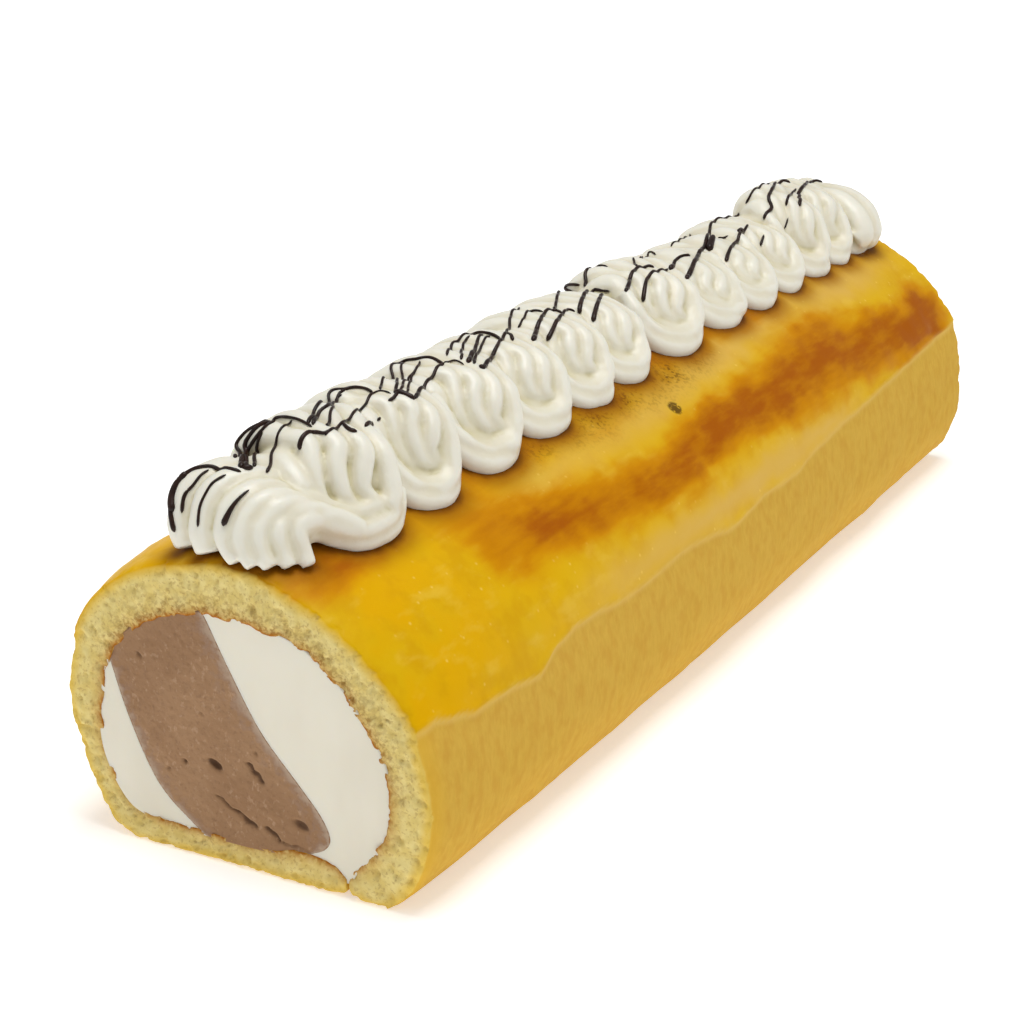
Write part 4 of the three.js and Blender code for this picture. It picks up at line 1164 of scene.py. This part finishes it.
# Each strand: thickness at its start and end against the usual, and the points of the camera's
# picture that it passes, in pixels across and down from the upper left corner.
STRANDS = [
    # on the front stroke
    (1.7, 1.1, [(175, 532), (172, 518), (171, 504), (173, 494), (176, 486), (183, 477), (192, 470),
     (204, 467), (216, 467), (227, 469), (241, 472)]),
    (2.6, 2.2, [(173, 512), (172, 500), (175, 488), (181, 479), (188, 473)]),
    (1.2, 0.8, [(182, 513), (183, 503), (184, 493), (190, 489), (195, 486), (198, 477), (209, 470)]),
    (1, 0.8, [(198, 527), (199, 515), (200, 504), (207, 493), (209, 486), (217, 480), (226, 475)]),
    (2, 0.7, [(223, 526), (226, 518), (230, 510), (234, 504), (238, 499), (249, 490)]),
    # on the first frill
    (1.4, 1, [(235, 458), (236, 447), (243, 436), (252, 428), (263, 424), (273, 419), (283, 417),
     (297, 419), (307, 424), (312, 427)]),
    (2.2, 1.2, [(241, 468), (242, 458), (244, 447), (250, 436), (258, 427), (272, 422)]),
    (2, 1, [(246, 470), (247, 455), (253, 442), (262, 431), (275, 422)]),
    (1.4, 0.9, [(254, 467), (257, 452), (258, 442), (263, 432)]),
    (2, 2, [(242, 468), (247, 469), (253, 468)]),
    (1.2, 0.8, [(266, 473), (271, 465), (272, 452), (277, 438), (283, 427), (292, 420)]),
    (1.8, 1, [(300, 450), (299, 445), (303, 437), (312, 432), (318, 431), (325, 436), (333, 429)]),
    # on the second frill
    (1.5, 1, [(308, 425), (313, 415), (320, 403), (328, 395), (337, 390), (348, 388), (365, 388),
     (373, 393)]),
    (1.6, 1, [(313, 425), (318, 413), (327, 407), (337, 398), (345, 391)]),
    (1.2, 0.8, [(327, 426), (330, 413), (335, 403), (342, 395)]),
    (1, 1, [(325, 436), (340, 425), (352, 415), (368, 400), (374, 393)]),
    (1, 1.6, [(342, 423), (350, 432), (357, 432)]),
    (1.4, 1.4, [(365, 427), (372, 422)]),
    (1.2, 1.2, [(377, 421), (380, 418)]),
    # on the third frill
    (0.6, 0.6, [(370, 397), (373, 393), (381, 390), (391, 394)]),
    (1.1, 1.1, [(380, 390), (383, 378), (391, 367), (403, 361), (418, 360), (427, 357), (436, 360),
     (444, 365)]),
    (1.2, 0.9, [(395, 394), (397, 381), (401, 367), (404, 363)]),
    (1.2, 0.9, [(388, 401), (398, 393), (408, 380), (416, 371), (420, 361)]),
    (1.1, 0.8, [(407, 393), (411, 380), (417, 368)]),
    (2.3, 2, [(395, 392), (404, 394), (414, 400)]),
    (1.6, 1, [(415, 399), (424, 387), (433, 377), (444, 363)]),
    (0.6, 0.6, [(444, 363), (450, 360), (458, 360), (464, 365)]),
    # on the fourth frill
    (1, 1.1, [(447, 356), (451, 346), (460, 340), (473, 334), (486, 333), (496, 336), (501, 340)]),
    (1.2, 0.9, [(461, 360), (461, 353), (464, 343), (470, 336)]),
    (2, 1, [(468, 363), (472, 353), (477, 343), (483, 335)]),
    (1.2, 0.9, [(474, 364), (476, 355), (483, 343), (490, 336)]),
    (1.9, 1.1, [(483, 368), (492, 357), (497, 347), (501, 340)]),
    (2, 2, [(479, 366), (485, 369)]),
    # on the fifth frill
    (1.4, 1, [(500, 342), (507, 331), (511, 317), (520, 308)]),
    (1.6, 1.2, [(513, 341), (507, 333)]),
    (1, 0.8, [(518, 328), (525, 317), (530, 311), (543, 312)]),
    (2, 1, [(533, 341), (536, 331), (540, 321), (544, 314), (553, 310), (558, 311), (563, 314)]),
    (1.9, 0.9, [(547, 341), (554, 327), (563, 314), (568, 309), (575, 312)]),
    # on the sixth frill
    (1.2, 1.2, [(554, 309), (557, 297), (565, 289), (570, 285), (580, 285)]),
    (1.6, 1.2, [(585, 287), (585, 274), (588, 264)]),
    (1.9, 1, [(579, 314), (580, 306), (586, 293), (593, 289), (600, 291), (610, 291)]),
    (1.9, 1, [(593, 322), (596, 309), (603, 294)]),
    # on the seventh frill
    (0.8, 0.8, [(588, 265), (597, 266), (608, 267)]),
    (1.9, 1.1, [(626, 292), (630, 279), (637, 268), (648, 265), (654, 268)]),
    (1.7, 1, [(643, 302), (645, 284), (650, 275), (660, 270), (668, 269)]),
    (1.2, 1, [(637, 267), (633, 258)]),
    # on the eighth frill
    (0.9, 0.8, [(640, 258), (648, 253), (656, 255)]),
    (2.2, 1.2, [(670, 270), (674, 264), (678, 258), (684, 256), (690, 256)]),
    (0.9, 0.8, [(671, 247), (679, 241), (690, 234)]),
    # on the ninth and tenth frill
    (2.2, 1, [(686, 279), (692, 268), (698, 256), (706, 241), (710, 228), (716, 220), (727, 218),
     (739, 213)]),
    (3.2, 2.4, [(709, 251), (710, 246), (713, 237)]),
    (0.9, 0.8, [(718, 238), (728, 236)]),
    (1.7, 1.2, [(726, 262), (729, 251), (740, 233), (748, 225)]),
    (2.6, 2.4, [(739, 233), (742, 229)]),
    # on the last frills
    (1, 0.9, [(746, 204), (752, 193), (761, 186), (776, 183)]),
    (1.6, 1.2, [(764, 220), (772, 207), (768, 200), (772, 189), (780, 182), (790, 183)]),
    (1.3, 1, [(760, 246), (764, 235)]),
    (1.7, 1.2, [(799, 206), (798, 194), (802, 188), (812, 182), (822, 182)]),
    (1.2, 0.9, [(786, 206), (788, 197), (796, 189)]),
    (0.9, 0.7, [(784, 229), (788, 218)]),
]
CLOSEST = 0.8                  # two places of a strand nearer than this count as one

cream_places = at_points(melted, "co")
cream_tree = BVHTree.FromPolygons(cream_places.tolist(), [face.vertices[:] for face in melted.polygons])
focal_pixels = FOCAL_LENGTH / SENSOR_WIDTH * FRAME
cream_seen = (cream_places - CAMERA_PLACE) @ np.stack([camera_right, -camera_up, -camera_back], -1)
cream_pixels = FRAME / 2 + focal_pixels * cream_seen[:, :2] / cream_seen[:, 2:]


def cream_under(pixel):
    """The place of the cream that the camera sees at a pixel, in millimetres: where the ray
    right a - up b - back f meets it first, with a and b the pixel's distance from the picture's
    middle and f the focal length in pixels. Just beside the cream it is the nearest point seen."""
    across, down = np.array(pixel) - FRAME / 2
    ray = camera_right * across - camera_up * down - camera_back * focal_pixels
    place = cream_tree.ray_cast(Vector(CAMERA_PLACE), Vector(ray).normalized())[0]
    if place is None:
        place = cream_places[np.linalg.norm(cream_pixels - pixel, axis=1).argmin()]
    return np.array(place) / MM


def route_on_cream(picked):
    """The places under the given points, without those too close to the one before."""
    route = []
    for place in map(cream_under, picked):
        if not route or np.linalg.norm(place - route[-1]) > CLOSEST:
            route.append(place)
    return route


def laid(line):
    """Places x, y, z in millimetres carried to the nearest point of the cream, and a little above."""
    mesh = bpy.data.meshes.new("laid")
    mesh.from_pydata((line * MM).tolist(), [(k, k + 1) for k in range(len(line) - 1)], [])
    carrier = placed("laid", mesh)
    fall = carrier.modifiers.new("fall", 'SHRINKWRAP')
    fall.wrap_method, fall.target = 'NEAREST_SURFACEPOINT', cream_piece
    fall.wrap_mode, fall.offset = 'ABOVE_SURFACE', STRAND_LIFT * MM
    landed = places_of(carrier.evaluated_get(bpy.context.evaluated_depsgraph_get()).to_mesh())
    bpy.data.objects.remove(carrier)
    bpy.data.meshes.remove(mesh)
    return landed


def strand(start, end, picked):
    """A strand's rings. Its radius runs evenly from the start's to the end's, swells and thins by
    noise, and rounds off over the last millimetre as a half circle does."""
    places = route_on_cream(picked)
    curve = smooth_curve(places, 12 * len(places))
    length = np.linalg.norm(np.diff(curve, axis=0), axis=1).sum()
    share = np.linspace(0, 1, max(6, round(length / STRAND_STEP)))
    line = at_shares(curve, share)
    for rounds in (10, 3):         # laid, drawn straighter as sagging chocolate is, and laid again
        line = laid(line)
        for _ in range(rounds):
            line[1:-1] = 0.5 * line[1:-1] + 0.25 * (line[:-2] + line[2:])
    from_end = np.minimum(share, 1 - share) * length
    rounded = np.sqrt(np.clip(1 - (1 - np.minimum(from_end, 1)) ** 2, 0.05, 1))
    lumps = 1 + 0.2 * along_noise(line[:, 0] * 1.7 + line[:, 1], 2.2, 77)
    return tube(line, STRAND * (start + (end - start) * share) * rounded * lumps, STRAND_SIDES)


strand_rings = [strand(*route) for route in STRANDS]
print(len(strand_rings), "strands")
chocolate_mesh = tubes_mesh("chocolate_strands", strand_rings)
chocolate = Finish("chocolate", 0.34, 0.25)
cocoa = chocolate.slope(chocolate.noise(2, 2), 0.3, 0.7)
chocolate.set("Base Color", chocolate.blend(cocoa, seen(30, 15, 9), seen(44, 23, 14)))
chocolate.relief(chocolate.noise(0.8, 3), 0.05)
add_piece(chocolate_mesh, "piped_cream", chocolate.material)

# %% [markdown]
# ## Studio
#
# The cake stands on a pale floor in even light from all round, with a wide soft light above and a
# little stronger light from the front left. The floor is bright enough to run out into white.

# %% Floor, light and view
# Lengths in this cell are in metres.
FLOOR_HALF = 3
FLOOR_DROP = 0.0002            # of the floor below the cake's underside
SKY_STRENGTH = 0.38
CAKE_MIDDLE = (0, 0, 0.03)
bpy.context.scene.view_settings.view_transform = 'Standard'
floor_mesh = bpy.data.meshes.new("floor")
corners = [(x * FLOOR_HALF, y * FLOOR_HALF, 0) for x, y in ((-1, -1), (1, -1), (1, 1), (-1, 1))]
floor_mesh.from_pydata(corners, [], [(0, 1, 2, 3)])
floor = placed("floor", floor_mesh)
floor_finish = Finish("pale_floor", 0.9, 0.0)
floor_finish.set("Base Color", (0.93, 0.93, 0.93, 1))
floor_finish.set("Emission Color", (1, 1, 1, 1))
far = floor_finish.add("VectorMath", {0: floor_finish.place}, operation='LENGTH').outputs["Value"]
floor_finish.set("Emission Strength", floor_finish.slope(far, 0.25, 1.2, 0.4, 1.0))
floor_mesh.materials.append(floor_finish.material)
floor.location.z = -FLOOR_DROP

world = bpy.data.worlds.new("studio")
world.use_nodes = True
sky = world.node_tree.nodes["Background"].inputs
sky["Color"].default_value = (1, 1, 1, 1)
sky["Strength"].default_value = SKY_STRENGTH
bpy.context.scene.world = world


def soft_light(name, place, size, power):
    """A square light that faces the cake's middle."""
    light = bpy.data.lights.new(name, 'AREA')
    light.shape, light.size, light.energy = 'SQUARE', size, power
    lamp = placed(name, light)
    lamp.location = place
    lamp.rotation_euler = (Vector(CAKE_MIDDLE) - Vector(place)).to_track_quat('-Z', 'Y').to_euler()


soft_light("overhead", (0.1, 0.0, 1.1), 0.6, 8.1)
soft_light("front_left", (-0.6, -0.9, 0.6), 0.8, 1.1)
